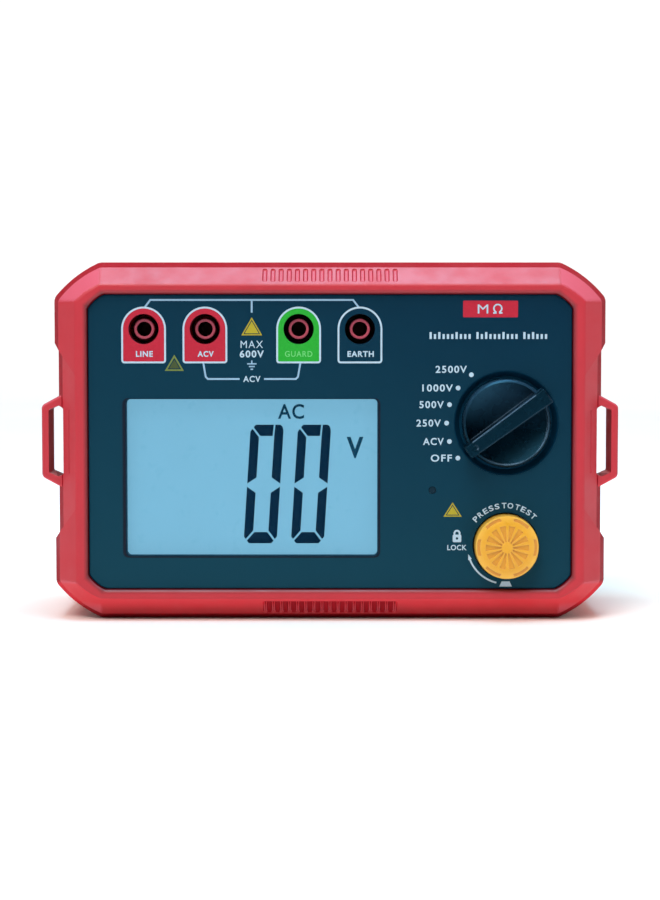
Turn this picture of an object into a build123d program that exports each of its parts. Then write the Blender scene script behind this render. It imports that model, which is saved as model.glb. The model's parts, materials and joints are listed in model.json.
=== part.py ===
from build123d import *
import math
import os

# A hand-portable insulation resistance tester: a red bezel and holster round a dark case, with a
# large display, four shrouded 4 mm test-lead sockets, a range knob and a press-and-lock test button.
#
# Everything is modelled in the bench frame, with the tester lying on its back: X to the right and Y up
# the front panel, Z out of the panel, Z = 0 at the rear feet. place() then stands it on its lower edge.
# All sizes are millimetres. Heights along Z end in _Z, half sizes start with HALF_, radii end in _R.

# ---- outline ------------------------------------------------------------------------------------
HALF_W = 77.3  # across the corner bumpers
HALF_H = 50.0
DEPTH = 71.0  # rear feet to the top of the range knob
RECESS_HALF_W = 76.2  # the sides step in between the bumpers
CORNER_CUT = (12.8, 10.0)  # how far each corner is cut back along X and Y
CORNER_BOW = 1.0  # how far the corner cut bows outwards
CORNER_SOFT = 3.0  # rounding where the cut meets the sides
RIDGE_HALF = (70.5, 43.7)  # where the slope meets the flat rim
RIDGE_CUT = (6.7, 4.4)
RIDGE_BOW = 0.4
RIDGE_SOFT = 1.5
OPENING_HALF = (67.2, 41.0)  # the opening that the panel stands in
OPENING_CUT = (4.6, 3.9)
OPENING_BOW = 0.5
OPENING_SOFT = 1.2

# ---- levels and walls ---------------------------------------------------------------------------
GAP = 0.05  # between pieces that touch on the real object
RED_WALL = 3.2  # overmould thickness round the case
CASE_WALL = 2.0
BACK_WALL = 2.5
PLATE = 2.4  # thickness of the front plate
FILM = 0.4  # printed film on the front plate
BACK_Z = 1.5  # the back of the case, above the feet
HOLSTER_Z = 3.0
PARTING_Z = 36.0  # front and rear halves meet
FLANGE_Z = 58.0  # top of the case flange under the bezel
SHOULDER_Z = 56.0  # the straight side walls end and lean in from here
EDGE_Z = 59.6  # the leaning band ends and the slope to the panel begins
PANEL_Z = 63.4
RIM_Z = 64.8
PLATE_TOP_Z = PANEL_Z - FILM
PLATE_LOW_Z = PLATE_TOP_Z - PLATE
BOARD_Z = 40.0
BOARD_T = 1.6
BOARD_TOP_Z = BOARD_Z + BOARD_T
BOARD_LOW_Z = BOARD_Z - GAP  # parts under the board reach up to here
BOARD_SEAT_Z = BOARD_TOP_Z + GAP  # parts on the board start here
ABOVE, BELOW = 80.0, -5.0  # clear of everything, for through cuts

# ---- bezel details ------------------------------------------------------------------------------
EDGE_INSET = 1.5  # the slope begins this far inside the outline
EDGE_ROUND = 0.5
SHOULDER_ROUND = 1.6
HOLSTER_ROUND = 2.4
RIM_ROUND = 1.3
OPENING_ROUND = 1.2
PARTING_CHAMFER = 0.4
SIDE_ZONE = 26.0  # the bumpers begin this far from the middle of each side
BUMPER_SLANT = 1.36  # millimetres along Y for each millimetre along X at a bumper's end
GRIP_COUNT = 17
GRIP_PITCH = 2.26
GRIP_LENGTH = 5.6
GRIP_R = 0.75
GRIP_DEPTH = 0.45
GRIP_Y = 46.3
CREASE_X = 72.7
CREASE_R = 0.42
CREASE_LENGTH = 17.6
LUG_HALF_W = 80.8
LUG_ROOT = (72.0, 14.6)
LUG_SHOULDER = (76.2, 12.5)
LUG_TIP_Y = 10.0
LUG_LOW_Z, LUG_HIGH_Z = 45.6, 58.4
SLOT_INNER = (74.6, 9.2)
SLOT_PEAK = (76.1, 10.0)
SLOT_OUTER = (78.85, 8.8)

# ---- panel ---------------------------------------------------------------------------------------
DISPLAY = (-21.7, -9.85)
WINDOW = (69.8, 43.6)
WINDOW_CORNER = 1.2
JACK_Y = 31.4
JACK_X = {"line": -51.7, "voltage": -34.7, "guard": -8.7, "earth": 8.3}
JACK_MOUTH_R = 4.2
KNOB = (49.0, 5.3)
DISH_R = 14.6
DISH_TAPER = 1.6
DISH_FLOOR_Z = 61.0
BUTTON = (49.0, -28.9)
BUTTON_R = 8.8
BUTTON_TOP_Z = 69.4
BUTTON_HOLE_R = 9.2
LAMP = (28.5, -13.4)
LAMP_HOLE_R = 1.05

# ---- sockets -------------------------------------------------------------------------------------
PLUG_R = 2.0  # bore of the socket contact
CONTACT_R = 2.4
CONTACT_LOW_Z, CONTACT_HIGH_Z = 42.0, 60.0
SOCKET_R = 5.8
SOCKET_FLOOR_Z = 44.2
SLEEVE_R = 2.85
SLEEVE_TOP_Z = 61.2
SOLDER_PIN_R = 0.9

# ---- range switch --------------------------------------------------------------------------------
KNOB_R = 12.3
KNOB_RIM_Z = 66.2
KNOB_REST_DEG = 216.0  # direction of the pointer at OFF
DETENT_STEP_DEG = 18.0
BAR_HALF_LENGTH = 13.6
BAR_NARROW, BAR_WIDE = 1.85, 2.3  # half widths at the pointer's end and at the other end
SCOOP_R, SCOOP_DEPTH, SCOOP_OFFSET = 43.0, 4.7, -8.1
SHAFT_R = 3.0
TONGUE = (5.2, 2.2)  # flat tongue on top of the shaft, inside the knob's bar
TONGUE_Z, TONGUE_TOP_Z = 62.2, 69.0
HUB_LOW_Z, HUB_HIGH_Z = 52.6, 57.4
DETENT_Z = 55.0  # the balls and their spring lie at this height
DETENT_BALL_R = 1.25
DETENT_BALL_AT = 7.9
TRACK_R = (7.0, 9.4, 11.4)  # copper tracks under the switch wipers
TRACK_HALF = 0.6
COPPER_TOP_Z = BOARD_TOP_Z + 0.06

# ---- test button ---------------------------------------------------------------------------------
CAP_LOW_Z = 57.6
CAP_WALL = 1.6
CAP_ROOF = 2.0
DOME_R = 60.0
NOTCH_COUNT = 6
NOTCH_R = (7.5, 8.35)  # inner and outer radius
NOTCH_DEPTH = 0.6
NOTCH_LENGTH = 4.6
RAY_COUNT = 14
RAY_R = (1.6, 6.0)
RAY_HALF_WIDTH = (0.2, 0.85)  # at those two radii
RAY_DEPTH = 0.4
STEM_R, STEM_TIP_R = 2.4, 1.5
STEM_STEP_Z, STEM_END_Z = 49.3, 46.6
LOCK_LUG_R = 4.4
LOCK_PLATE_Z, LOCK_PLATE_R = 50.0, 11.2
BRIDGE_HALF = 7.2  # from the stem to each contact

# ---- fasteners -----------------------------------------------------------------------------------
BOSS = (63.5, 36.5)  # case screws
BOARD_POST = (68.2, 14.0)
DISPLAY_POST = (41.0, 19.5)
CASE_SCREW_SEAT_Z = 22.0
INSERT_R, INSERT_BORE_R = 2.4, 1.5
SMALL_HOLE_R = 1.05
SCREW_CLEAR_R = 1.15

# ---- display stack -------------------------------------------------------------------------------
LENS_FLANGE = 1.6
LENS_RECESS = 0.9
GLASS = (74.0, 47.0)
GLASS_Z = (57.6, 59.3)
DISPLAY_BOARD = (87.0, 50.0)
DISPLAY_BOARD_Z = (53.4, 54.6)
HEADER_Y = -33.2
HEADER_PINS = 11
HEADER_PITCH = 2.54

# ---- batteries and back --------------------------------------------------------------------------
CELL_R = 7.1
CELL_LENGTH = 49.2
NUB_R, NUB_LENGTH = 2.7, 1.2
CELL_PITCH = 15.0
CELL_Z = 11.4
BAY = (112.0, 45.6)
BAY_ROOF_Z = 19.5
BAY_WALL = 1.6
PLATE_SPACE = 0.4  # behind each contact plate
MIDDLE_HALF = 1.2  # from the bay's middle to the first cell's end
DOOR = (118.0, 56.0)
DOOR_T = 1.8
DOOR_CORNER = 3.0
DOOR_TOP_Z = BACK_Z + DOOR_T
DOOR_SCREWS = [(-36.0, 25.2), (36.0, 25.2)]
DOOR_GRIPS = 7
FEET = [(-46.0, -36.5), (-46.0, 36.5), (46.0, -36.5), (46.0, 36.5)]
FOOT_R = 6.0
FOOT_POCKET = 1.2

parts = {}


# ---- helpers -------------------------------------------------------------------------------------
def slab(face, low, high):
    """A flat outline made solid between two heights."""
    return extrude(Pos(0, 0, low) * face, amount=high - low)


def rod(radius, low, high, at=(0, 0)):
    """A round bar along Z."""
    return Pos(at[0], at[1], (low + high) / 2) * Cylinder(radius, high - low)


def tube(outer, inner, low, high, at=(0, 0)):
    """A round tube along Z."""
    return rod(outer, low, high, at) - rod(inner, BELOW, ABOVE, at)


def block(size_x, size_y, low, high, at=(0, 0)):
    """A rectangular block."""
    return Pos(at[0], at[1], (low + high) / 2) * Box(size_x, size_y, high - low)


def rounded(width, height, radius, at=(0, 0)):
    """A rectangle with round corners."""
    return Pos(at[0], at[1], 0) * RectangleRounded(width, height, radius)


def corners(half_x, half_y, centre=(0, 0)):
    """The four points at plus and minus each half distance."""
    return [(centre[0] + sx * half_x, centre[1] + sy * half_y) for sx in (-1, 1) for sy in (-1, 1)]


def gather(shapes):
    """Several separate solids in one node."""
    return Compound(children=[solid for shape in shapes for solid in shape.solids()])


def both_sides(shape):
    """A shape and its mirror image at the other side."""
    return shape + mirror(shape, about=Plane.YZ)


def spring(radius, wire, pitch, length):
    """A round-wire compression spring along Z from Z = 0."""
    line = Helix(pitch=pitch, height=length - 2 * wire, radius=radius)
    profile = Plane(origin=line @ 0, z_dir=line % 0) * Circle(wire)
    return Pos(0, 0, wire) * sweep(profile, path=line, is_frenet=True)


def edges_at(shape, height):
    """The edges that lie flat at one height."""
    flat = []
    for edge in shape.edges():
        box = edge.bounding_box()
        if abs(box.min.Z - height) < 1e-3 and abs(box.max.Z - height) < 1e-3:
            flat.append(edge)
    return flat


# ---- outlines ------------------------------------------------------------------------------------
def plan(half_w, half_h, cut, bow, soften):
    """The body's outline: straight sides joined by corner cuts that bow outwards."""
    flat_x, flat_y = half_w - cut[0], half_h - cut[1]
    reach = math.hypot(*cut)
    lines = [
        Line((half_w, -flat_y), (half_w, flat_y)),
        Line((flat_x, half_h), (-flat_x, half_h)),
        Line((-half_w, flat_y), (-half_w, -flat_y)),
        Line((-flat_x, -half_h), (flat_x, -half_h)),
    ]
    for sx in (-1, 1):
        for sy in (-1, 1):
            middle = (
                sx * ((half_w + flat_x) / 2 + bow * cut[1] / reach),
                sy * ((half_h + flat_y) / 2 + bow * cut[0] / reach),
            )
            lines.append(ThreePointArc((sx * half_w, sy * flat_y), middle, (sx * flat_x, sy * half_h)))
    face = make_face(Curve() + lines)
    return fillet(face.vertices(), radius=soften)


def body_plan(half_w, inset, soften):
    """The body's outline moved inwards, for a given half width at the sides."""
    reach = math.hypot(*CORNER_CUT)
    nx, ny = CORNER_CUT[1] / reach, CORNER_CUT[0] / reach
    line = nx * (HALF_W - CORNER_CUT[0]) + ny * HALF_H - inset
    new_w, new_h = half_w - inset, HALF_H - inset
    cut = (new_w - (line - ny * new_h) / nx, new_h - (line - nx * new_w) / ny)
    return plan(new_w, new_h, cut, CORNER_BOW, soften)


def opening_plan(grow):
    """The panel opening's outline, moved outwards by a distance."""
    half_w, half_h = OPENING_HALF[0] + grow, OPENING_HALF[1] + grow
    return plan(half_w, half_h, OPENING_CUT, OPENING_BOW, OPENING_SOFT)


def case_plan(inset, soften=1.5):
    """The outline inside the overmould, moved inwards by a distance."""
    return body_plan(HALF_W, RED_WALL + inset, soften)


def side_zone(low, high):
    """The space at both sides, between the corner bumpers."""
    inner, outer = 66.0, 84.0
    y_in = SIDE_ZONE - (RECESS_HALF_W - inner) * BUMPER_SLANT
    y_out = SIDE_ZONE + (outer - RECESS_HALF_W) * BUMPER_SLANT
    right = make_face(Polyline((inner, y_in), (outer, y_out), (outer, -y_out), (inner, -y_in), close=True))
    return both_sides(slab(right, low, high))


def strap_slots(low, high):
    """The two slots that a strap goes through, with the channel behind them."""
    upper = [SLOT_INNER, SLOT_PEAK, SLOT_OUTER]
    ring = upper + [(x, -y) for x, y in reversed(upper)]
    face = make_face(Polyline(*ring, close=True))
    face = fillet(face.vertices(), radius=0.6)
    return both_sides(slab(face, low, high))


# ---- casings -------------------------------------------------------------------------------------
def bezel_block(half_w):
    """The bezel's outer shape: a straight wall, a steep band that leans in, then a slope up to a flat rim."""
    wall_face = body_plan(half_w, 0, CORNER_SOFT)
    edge_face = Pos(0, 0, EDGE_Z) * body_plan(half_w, EDGE_INSET, CORNER_SOFT)
    rim_face = Pos(0, 0, RIM_Z) * plan(*RIDGE_HALF, RIDGE_CUT, RIDGE_BOW, RIDGE_SOFT)
    solid = slab(wall_face, PARTING_Z, SHOULDER_Z)
    solid += loft([Pos(0, 0, SHOULDER_Z) * wall_face, edge_face], ruled=True)
    solid += loft([edge_face, rim_face], ruled=True)
    solid = fillet(edges_at(solid, SHOULDER_Z), radius=SHOULDER_ROUND)
    solid = fillet(edges_at(solid, EDGE_Z), radius=EDGE_ROUND)
    solid = fillet(edges_at(solid, RIM_Z), radius=RIM_ROUND)
    return chamfer(edges_at(solid, PARTING_Z), length=PARTING_CHAMFER)


def lugs():
    """The loops at both sides that a carrying strap goes through."""
    upper = [LUG_ROOT, LUG_SHOULDER, (LUG_HALF_W, LUG_TIP_Y)]
    ring = upper + [(x, -y) for x, y in reversed(upper)]
    face = make_face(Polyline(*ring, close=True))
    face = fillet([v for v in face.vertices() if v.X > SLOT_PEAK[0] + 1], radius=1.6)
    right = slab(face, LUG_LOW_Z, LUG_HIGH_Z)
    rims = edges_at(right, LUG_LOW_Z) + edges_at(right, LUG_HIGH_Z)
    right = fillet([edge for edge in rims if edge.center().X > LUG_ROOT[0] + 1], radius=0.8)
    return both_sides(right)


def grips():
    """Short round-bottomed grooves across the middle of the upper and lower slopes."""
    foot = HALF_H - EDGE_INSET
    rise, run = RIM_Z - EDGE_Z, foot - RIDGE_HALF[1]
    middle_z = EDGE_Z + (foot - GRIP_Y) * rise / run
    slope = Plane(origin=(0, GRIP_Y, middle_z), x_dir=(1, 0, 0), z_dir=(0, rise, run))
    straight = GRIP_LENGTH - 2 * GRIP_R
    cutter = Rot(X=90) * Cylinder(GRIP_R, straight)
    cutter += [Pos(0, sign * straight / 2, 0) * Sphere(GRIP_R) for sign in (-1, 1)]
    cuts = []
    for index in range(GRIP_COUNT):
        x = (index - (GRIP_COUNT - 1) / 2) * GRIP_PITCH
        cuts.append(slope.location * Pos(x, 0, GRIP_R - GRIP_DEPTH) * cutter)
    return cuts + [mirror(cut, about=Plane.XZ) for cut in cuts]


def crease(sign):
    """The fine groove in the slope beside each strap loop."""
    foot = RECESS_HALF_W - EDGE_INSET
    z = EDGE_Z + (foot - CREASE_X) * (RIM_Z - EDGE_Z) / (foot - RIDGE_HALF[0])
    return Pos(sign * CREASE_X, 0, z + 0.1) * Rot(X=90) * Cylinder(CREASE_R, CREASE_LENGTH)


def front_bezel():
    """The red frame round the panel, with bumpers, grips and strap loops."""
    zone = side_zone(BELOW, ABOVE)
    solid = (bezel_block(HALF_W) - zone) + (bezel_block(RECESS_HALF_W) & zone)
    solid += lugs()
    solid -= slab(case_plan(0), BELOW, FLANGE_Z)
    solid -= slab(opening_plan(0), FLANGE_Z - 1, ABOVE)
    rim = solid.faces().sort_by(Axis.Z)[-1]
    solid = fillet(rim.inner_wires()[0].edges(), radius=OPENING_ROUND)
    solid -= strap_slots(BELOW, ABOVE)
    solid -= grips()
    solid -= [crease(-1), crease(1)]
    return solid


def posts(shape, places, radius, low, high, depth):
    """Adds round posts with a blind screw hole in their lower ends."""
    for at in places:
        shape += rod(radius, low, high, at)
    for at in places:
        shape -= rod(SMALL_HOLE_R, BELOW, low + depth, at)
    return shape


def front_case():
    """The dark front half of the case, whose plate is the panel."""
    outer = slab(case_plan(GAP), PARTING_Z + GAP, FLANGE_Z - GAP)
    outer += slab(opening_plan(-GAP), FLANGE_Z - 1, PLATE_TOP_Z)
    inner = slab(case_plan(CASE_WALL, 1.0), BELOW, FLANGE_Z - CASE_WALL)
    inner += slab(opening_plan(-CASE_WALL), FLANGE_Z - CASE_WALL - 1, PLATE_LOW_Z)
    case = outer - inner
    plate_z = PLATE_LOW_Z + 0.1  # posts and collars run into the plate
    case += rod(DISH_R + 1.7, DISH_FLOOR_Z - PLATE, plate_z, KNOB)
    case += rod(BUTTON_HOLE_R + 1.9, LOCK_PLATE_Z + 1.0, plate_z, BUTTON)
    for at in corners(*BOSS):
        case += rod(4.0, PARTING_Z + GAP, FLANGE_Z - 1, at)
        case -= rod(INSERT_R + GAP, BELOW, PARTING_Z + GAP + 8.0, at)
    case = posts(case, corners(*BOARD_POST), 2.4, BOARD_SEAT_Z, FLANGE_Z - 1, 7.0)
    case = posts(case, corners(*DISPLAY_POST, DISPLAY), 2.2, DISPLAY_BOARD_Z[1] + GAP, plate_z, 5.0)
    dish = Cone(DISH_R - DISH_TAPER, DISH_R, PANEL_Z - DISH_FLOOR_Z)
    case -= Pos(*KNOB, (DISH_FLOOR_Z + PANEL_Z) / 2) * dish
    case -= rod(SHAFT_R + 0.08, LOCK_PLATE_Z, ABOVE, KNOB)
    case -= rod(BUTTON_HOLE_R, LOCK_PLATE_Z, ABOVE, BUTTON)
    case -= rod(LAMP_HOLE_R, FLANGE_Z, ABOVE, LAMP)
    for x in JACK_X.values():
        case -= rod(JACK_MOUTH_R, FLANGE_Z, ABOVE, (x, JACK_Y))
    return case - slab(rounded(*WINDOW, WINDOW_CORNER, DISPLAY), FLANGE_Z, ABOVE)


def panel_film():
    """The printed film on the panel."""
    film = slab(opening_plan(-0.3), PLATE_TOP_Z, PANEL_Z)
    for x in JACK_X.values():
        film -= rod(JACK_MOUTH_R, BELOW, ABOVE, (x, JACK_Y))
    film -= rod(DISH_R + 0.05, BELOW, ABOVE, KNOB)
    film -= rod(BUTTON_HOLE_R + 0.1, BELOW, ABOVE, BUTTON)
    film -= rod(LAMP_HOLE_R, BELOW, ABOVE, LAMP)
    grow = 0.4
    return film - slab(rounded(WINDOW[0] + grow, WINDOW[1] + grow, WINDOW_CORNER + 0.2, DISPLAY), BELOW, ABOVE)


def rear_holster():
    """The red overmould round the rear case, with the same bumpers and strap channels."""

    def skin(half_w):
        solid = slab(body_plan(half_w, 0, CORNER_SOFT), HOLSTER_Z, PARTING_Z)
        solid = fillet(edges_at(solid, HOLSTER_Z), radius=HOLSTER_ROUND)
        return chamfer(edges_at(solid, PARTING_Z), length=PARTING_CHAMFER)

    zone = side_zone(BELOW, ABOVE)
    solid = (skin(HALF_W) - zone) + (skin(RECESS_HALF_W) & zone)
    solid -= slab(case_plan(0), BELOW, ABOVE)
    return solid - strap_slots(BELOW, ABOVE)


def rear_case():
    """The dark rear half of the case, with the battery bay let into its back."""
    outer = slab(case_plan(GAP), BACK_Z, PARTING_Z - GAP)
    outer = fillet(edges_at(outer, BACK_Z), radius=1.2)
    case = outer - slab(case_plan(CASE_WALL, 1.0), BACK_Z + BACK_WALL, ABOVE)
    case += block(BAY[0] + 2 * BAY_WALL, BAY[1] + 2 * BAY_WALL, BACK_Z + 1, BAY_ROOF_Z + BAY_WALL)
    for at in corners(*BOSS):
        case += rod(4.4, BACK_Z + 1, PARTING_Z - GAP, at)
        case -= rod(3.3, BELOW, CASE_SCREW_SEAT_Z, at)
        case -= rod(1.7, BELOW, ABOVE, at)
    case -= block(*BAY, BELOW, BAY_ROOF_Z)
    rebate = rounded(DOOR[0] + 0.5, DOOR[1] + 0.5, DOOR_CORNER + 0.2)
    case -= slab(rebate, BELOW, DOOR_TOP_Z + GAP)
    for at in DOOR_SCREWS:
        case += block(5.0, 4.6, DOOR_TOP_Z + GAP, 12, at)
        case -= rod(1.1, BELOW, 11, at)
    for at in FEET:
        case -= rod(FOOT_R + 0.1, BELOW, BACK_Z + FOOT_POCKET, at)
    for side in (-1, 1):
        for y in (-CELL_PITCH, CELL_PITCH):
            case -= block(4, 3.2, CELL_Z - 1.9, CELL_Z + 2.1, (side * (BAY[0] / 2 + 0.8), y))
    middle_wall = block(1.5, BAY[1] + 0.2, CELL_Z - 6.2, BAY_ROOF_Z + 0.1)
    return case + middle_wall


def battery_door():
    """The flat cover over the battery bay, with a row of grip grooves."""
    door = slab(rounded(*DOOR, DOOR_CORNER), BACK_Z, DOOR_TOP_Z)
    door = fillet(edges_at(door, BACK_Z), radius=0.4)
    for at in DOOR_SCREWS:
        door -= rod(2.7, BELOW, BACK_Z + 1.0, at)
        door -= rod(1.3, BELOW, ABOVE, at)
    groove = slab(SlotOverall(26, 1.4), BELOW, BACK_Z + 0.6)
    door -= [Pos(0, -8 - index * 2.4, 0) * groove for index in range(DOOR_GRIPS)]
    locator = block(BAY[0] - 1.0, 1.6, DOOR_TOP_Z, DOOR_TOP_Z + 1.6, (0, -BAY[1] / 2 + 1.3))
    return door + locator


def rubber_feet():
    """Four round feet glued in pockets in the back."""
    foot = rod(FOOT_R, 0, BACK_Z + FOOT_POCKET - GAP)
    foot = fillet(edges_at(foot, 0), radius=0.6)
    return gather([Pos(*at, 0) * foot for at in FEET])


# ---- fasteners -----------------------------------------------------------------------------------
def screw(head_r, head_h, shank_r, length):
    """A cross-head screw that points along +Z, its head below Z = 0."""
    body = rod(head_r, -head_h, 0) + rod(shank_r, -0.1, length)
    body = fillet(edges_at(body, -head_h), radius=head_h * 0.35)
    cross = block(head_r * 1.1, head_r * 0.28, BELOW, -head_h * 0.45)
    return body - cross - Rot(Z=90) * cross


def fasteners():
    """Screws and the brass inserts that the case screws go into."""
    case_screw = screw(2.8, 2.2, INSERT_BORE_R - GAP, 20.5)
    parts["case_screws"] = gather([Pos(*at, CASE_SCREW_SEAT_Z) * case_screw for at in corners(*BOSS)])
    insert = tube(INSERT_R, INSERT_BORE_R, PARTING_Z + 0.4, PARTING_Z + 7.6)
    parts["thread_inserts"] = gather([Pos(*at, 0) * insert for at in corners(*BOSS)])
    long_screw, short_screw = screw(2.0, 1.3, 1.0, 6.0), screw(2.0, 1.3, 1.0, 4.5)
    board = [Pos(*at, BOARD_LOW_Z) * long_screw for at in corners(*BOARD_POST)]
    low_z = DISPLAY_BOARD_Z[0] - GAP
    display = [Pos(*at, low_z) * short_screw for at in corners(*DISPLAY_POST, DISPLAY)]
    parts["board_screws"] = gather(board + display)
    door_screw = screw(2.5, 0.9, 1.0, 8.0)
    parts["battery_door_screws"] = gather([Pos(*at, BACK_Z + 0.97) * door_screw for at in DOOR_SCREWS])


# ---- display -------------------------------------------------------------------------------------
def display():
    """The lens, display glass, its frame, light guide, lamps, contact strips and board."""
    x, y = DISPLAY
    flange_z = PLATE_LOW_Z - 1.0
    flange = rounded(WINDOW[0] + 2 * LENS_FLANGE, WINDOW[1] + 2 * LENS_FLANGE, 2.0, DISPLAY)
    pane = rounded(WINDOW[0] - 0.1, WINDOW[1] - 0.1, WINDOW_CORNER - GAP, DISPLAY)
    lens = slab(flange, flange_z, PLATE_LOW_Z - GAP)
    parts["display_lens"] = lens + slab(pane, flange_z + 0.5, PANEL_Z - LENS_RECESS)
    parts["lcd_glass"] = block(*GLASS, *GLASS_Z, DISPLAY)
    ring = block(GLASS[0] + 2.8, GLASS[1] + 2.8, GLASS_Z[0] - 0.3, flange_z - GAP, DISPLAY)
    ring -= block(GLASS[0] + 0.1, GLASS[1] + 0.1, BELOW, GLASS_Z[1] + GAP, DISPLAY)
    parts["lcd_frame"] = ring - block(WINDOW[0] + 0.6, WINDOW[1] + 0.6, BELOW, ABOVE, DISPLAY)
    low_z, seat_z = DISPLAY_BOARD_Z[1] + GAP, GLASS_Z[0] - GAP
    parts["backlight_guide"] = block(70.0, 42.0, low_z + GAP, seat_z - GAP, DISPLAY)
    lamp_places = [(x - 36.2, y + step) for step in (-13, 0, 13)]
    parts["backlight_lamps"] = gather([block(1.6, 3.2, low_z, 56.4, at) for at in lamp_places])
    strip_places = [(x, y + step) for step in (-22.3, 22.3)]
    parts["contact_strips"] = gather([block(70.0, 1.8, low_z, seat_z, at) for at in strip_places])
    board = block(*DISPLAY_BOARD, *DISPLAY_BOARD_Z, DISPLAY)
    for at in corners(*DISPLAY_POST, DISPLAY):
        board -= rod(SCREW_CLEAR_R, BELOW, ABOVE, at)
    for at in corners(*BOSS):
        board -= rod(4.5, BELOW, ABOVE, at)
    first_pin = x - HEADER_PITCH * (HEADER_PINS - 1) / 2
    header = block(29.0, 2.4, BOARD_SEAT_Z, BOARD_SEAT_Z + 0.95, (x, HEADER_Y))
    for index in range(HEADER_PINS):
        at = (first_pin + HEADER_PITCH * index, HEADER_Y)
        header += rod(0.32, BOARD_SEAT_Z, DISPLAY_BOARD_Z[0] - GAP, at)
    parts["display_board"] = gather([board, header])


# ---- sockets -------------------------------------------------------------------------------------
def socket(name, x):
    """One shrouded 4 mm test-lead socket: an insulating housing, a plated contact and its red sleeve."""
    at = (x, JACK_Y)
    housing = rod(SOCKET_R, BOARD_SEAT_Z, PLATE_LOW_Z - GAP, at)
    housing -= rod(JACK_MOUTH_R, SOCKET_FLOOR_Z, ABOVE, at)
    parts[f"socket_housing_{name}"] = housing - rod(CONTACT_R + 0.1, BELOW, ABOVE, at)
    contact = rod(CONTACT_R, BOARD_TOP_Z + 0.1, CONTACT_HIGH_Z, at)
    contact += rod(SOLDER_PIN_R, BOARD_Z - 1.6, BOARD_TOP_Z + 0.2, at)
    parts[f"socket_contact_{name}"] = contact - rod(PLUG_R, CONTACT_LOW_Z, ABOVE, at)
    cap_z = CONTACT_HIGH_Z + GAP
    sleeve = tube(SLEEVE_R, CONTACT_R + GAP, SOCKET_FLOOR_Z + GAP, cap_z, at)
    cap = tube(SLEEVE_R, PLUG_R + GAP, cap_z, SLEEVE_TOP_Z, at)
    cap = fillet(edges_at(cap, SLEEVE_TOP_Z), radius=0.25)
    parts[f"socket_sleeve_{name}"] = sleeve + cap


# ---- range switch --------------------------------------------------------------------------------
def range_knob():
    """A round knob with a straight finger bar across it, scooped out on both sides of the bar."""
    low = DISH_FLOOR_Z + 0.5
    disc = rod(KNOB_R, low, KNOB_RIM_Z)
    disc = fillet(edges_at(disc, KNOB_RIM_Z), radius=1.3)
    scoop_z = KNOB_RIM_Z - SCOOP_DEPTH + SCOOP_R
    for side in (-1, 1):
        roll = Pos(0, side * SCOOP_OFFSET, scoop_z) * Rot(Y=90) * Cylinder(SCOOP_R, 3 * KNOB_R)
        half = rod(KNOB_R - 0.9, low, ABOVE) & block(40, 40, low, ABOVE, (0, side * 20))
        disc -= roll & half
    outline = Polyline(
        (-BAR_HALF_LENGTH, BAR_WIDE),
        (BAR_HALF_LENGTH, BAR_NARROW),
        (BAR_HALF_LENGTH, -BAR_NARROW),
        (-BAR_HALF_LENGTH, -BAR_WIDE),
        close=True,
    )
    bar_face = fillet(make_face(outline).vertices(), radius=0.35)
    bar = slab(bar_face, low + 1.6, DEPTH)
    bar = fillet(edges_at(bar, DEPTH), radius=0.35)
    knob = disc + bar + (slab(bar_face, low, DEPTH - 1) & rod(KNOB_R - 0.5, BELOW, ABOVE))
    mark_back = ThreePointArc((-0.2, 0.62), (-0.9, 0), (-0.2, -0.62))
    mark_point = Polyline((-0.2, -0.62), (1.0, 0), (-0.2, 0.62))
    mark = Pos(BAR_HALF_LENGTH - 2.3, 0, 0) * make_face(mark_back + mark_point)
    knob -= slab(mark, DEPTH - 0.3, ABOVE)
    knob -= rod(SHAFT_R + GAP, BELOW, TONGUE_Z + GAP)
    knob -= block(TONGUE[0] + 2 * GAP, TONGUE[1] + 2 * GAP, BELOW, TONGUE_TOP_Z + GAP)
    return Pos(*KNOB, 0) * Rot(Z=KNOB_REST_DEG) * knob


def range_switch():
    """The knob's shaft, detent and wipers."""
    parts["range_knob"] = range_knob()
    turn = Pos(*KNOB, 0) * Rot(Z=KNOB_REST_DEG)
    shaft = rod(SHAFT_R, 45.0, TONGUE_Z) + block(*TONGUE, TONGUE_Z - 1, TONGUE_TOP_Z)
    hub = rod(5.2, HUB_LOW_Z, HUB_HIGH_Z) + block(15.4, 5.2, HUB_LOW_Z, HUB_HIGH_Z)
    bore = Pos(0, 0, DETENT_Z) * Rot(Y=90) * Cylinder(DETENT_BALL_R + 0.1, 30)
    parts["switch_rotor"] = turn * (shaft + hub + rod(12.5, 44.0, 46.0) - bore)
    ball = Sphere(DETENT_BALL_R)
    parts["detent_balls"] = gather([turn * Pos(s * DETENT_BALL_AT, 0, DETENT_Z) * ball for s in (-1, 1)])
    half = DETENT_BALL_AT - DETENT_BALL_R - 0.15
    coil = Rot(Y=90) * spring(1.0, 0.18, 1.05, 2 * half)
    parts["detent_spring"] = turn * Pos(-half, 0, DETENT_Z) * coil
    ring = tube(11.6, 9.3, HUB_LOW_Z - 0.4, DISH_FLOOR_Z - PLATE - GAP)
    for index in range(round(360 / DETENT_STEP_DEG)):
        ring -= Rot(Z=DETENT_STEP_DEG * index) * rod(DETENT_BALL_R + GAP, BELOW, HUB_HIGH_Z + 0.2, (9.1, 0))
    parts["detent_ring"] = turn * ring
    contact_r = 0.45
    finger = block(2.6, 0.7, 43.15, 43.35)
    finger += Pos(1.1, 0, 42.8) * Rot(X=90) * Cylinder(contact_r, 0.7)
    comb = block(0.9, 6.4, 43.1, 43.95, (-1.6, 9.0)) + [Pos(0, r, 0) * finger for r in TRACK_R]
    parts["switch_wipers"] = gather([turn * Rot(Z=angle) * comb for angle in (0, 120, 240)])


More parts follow.
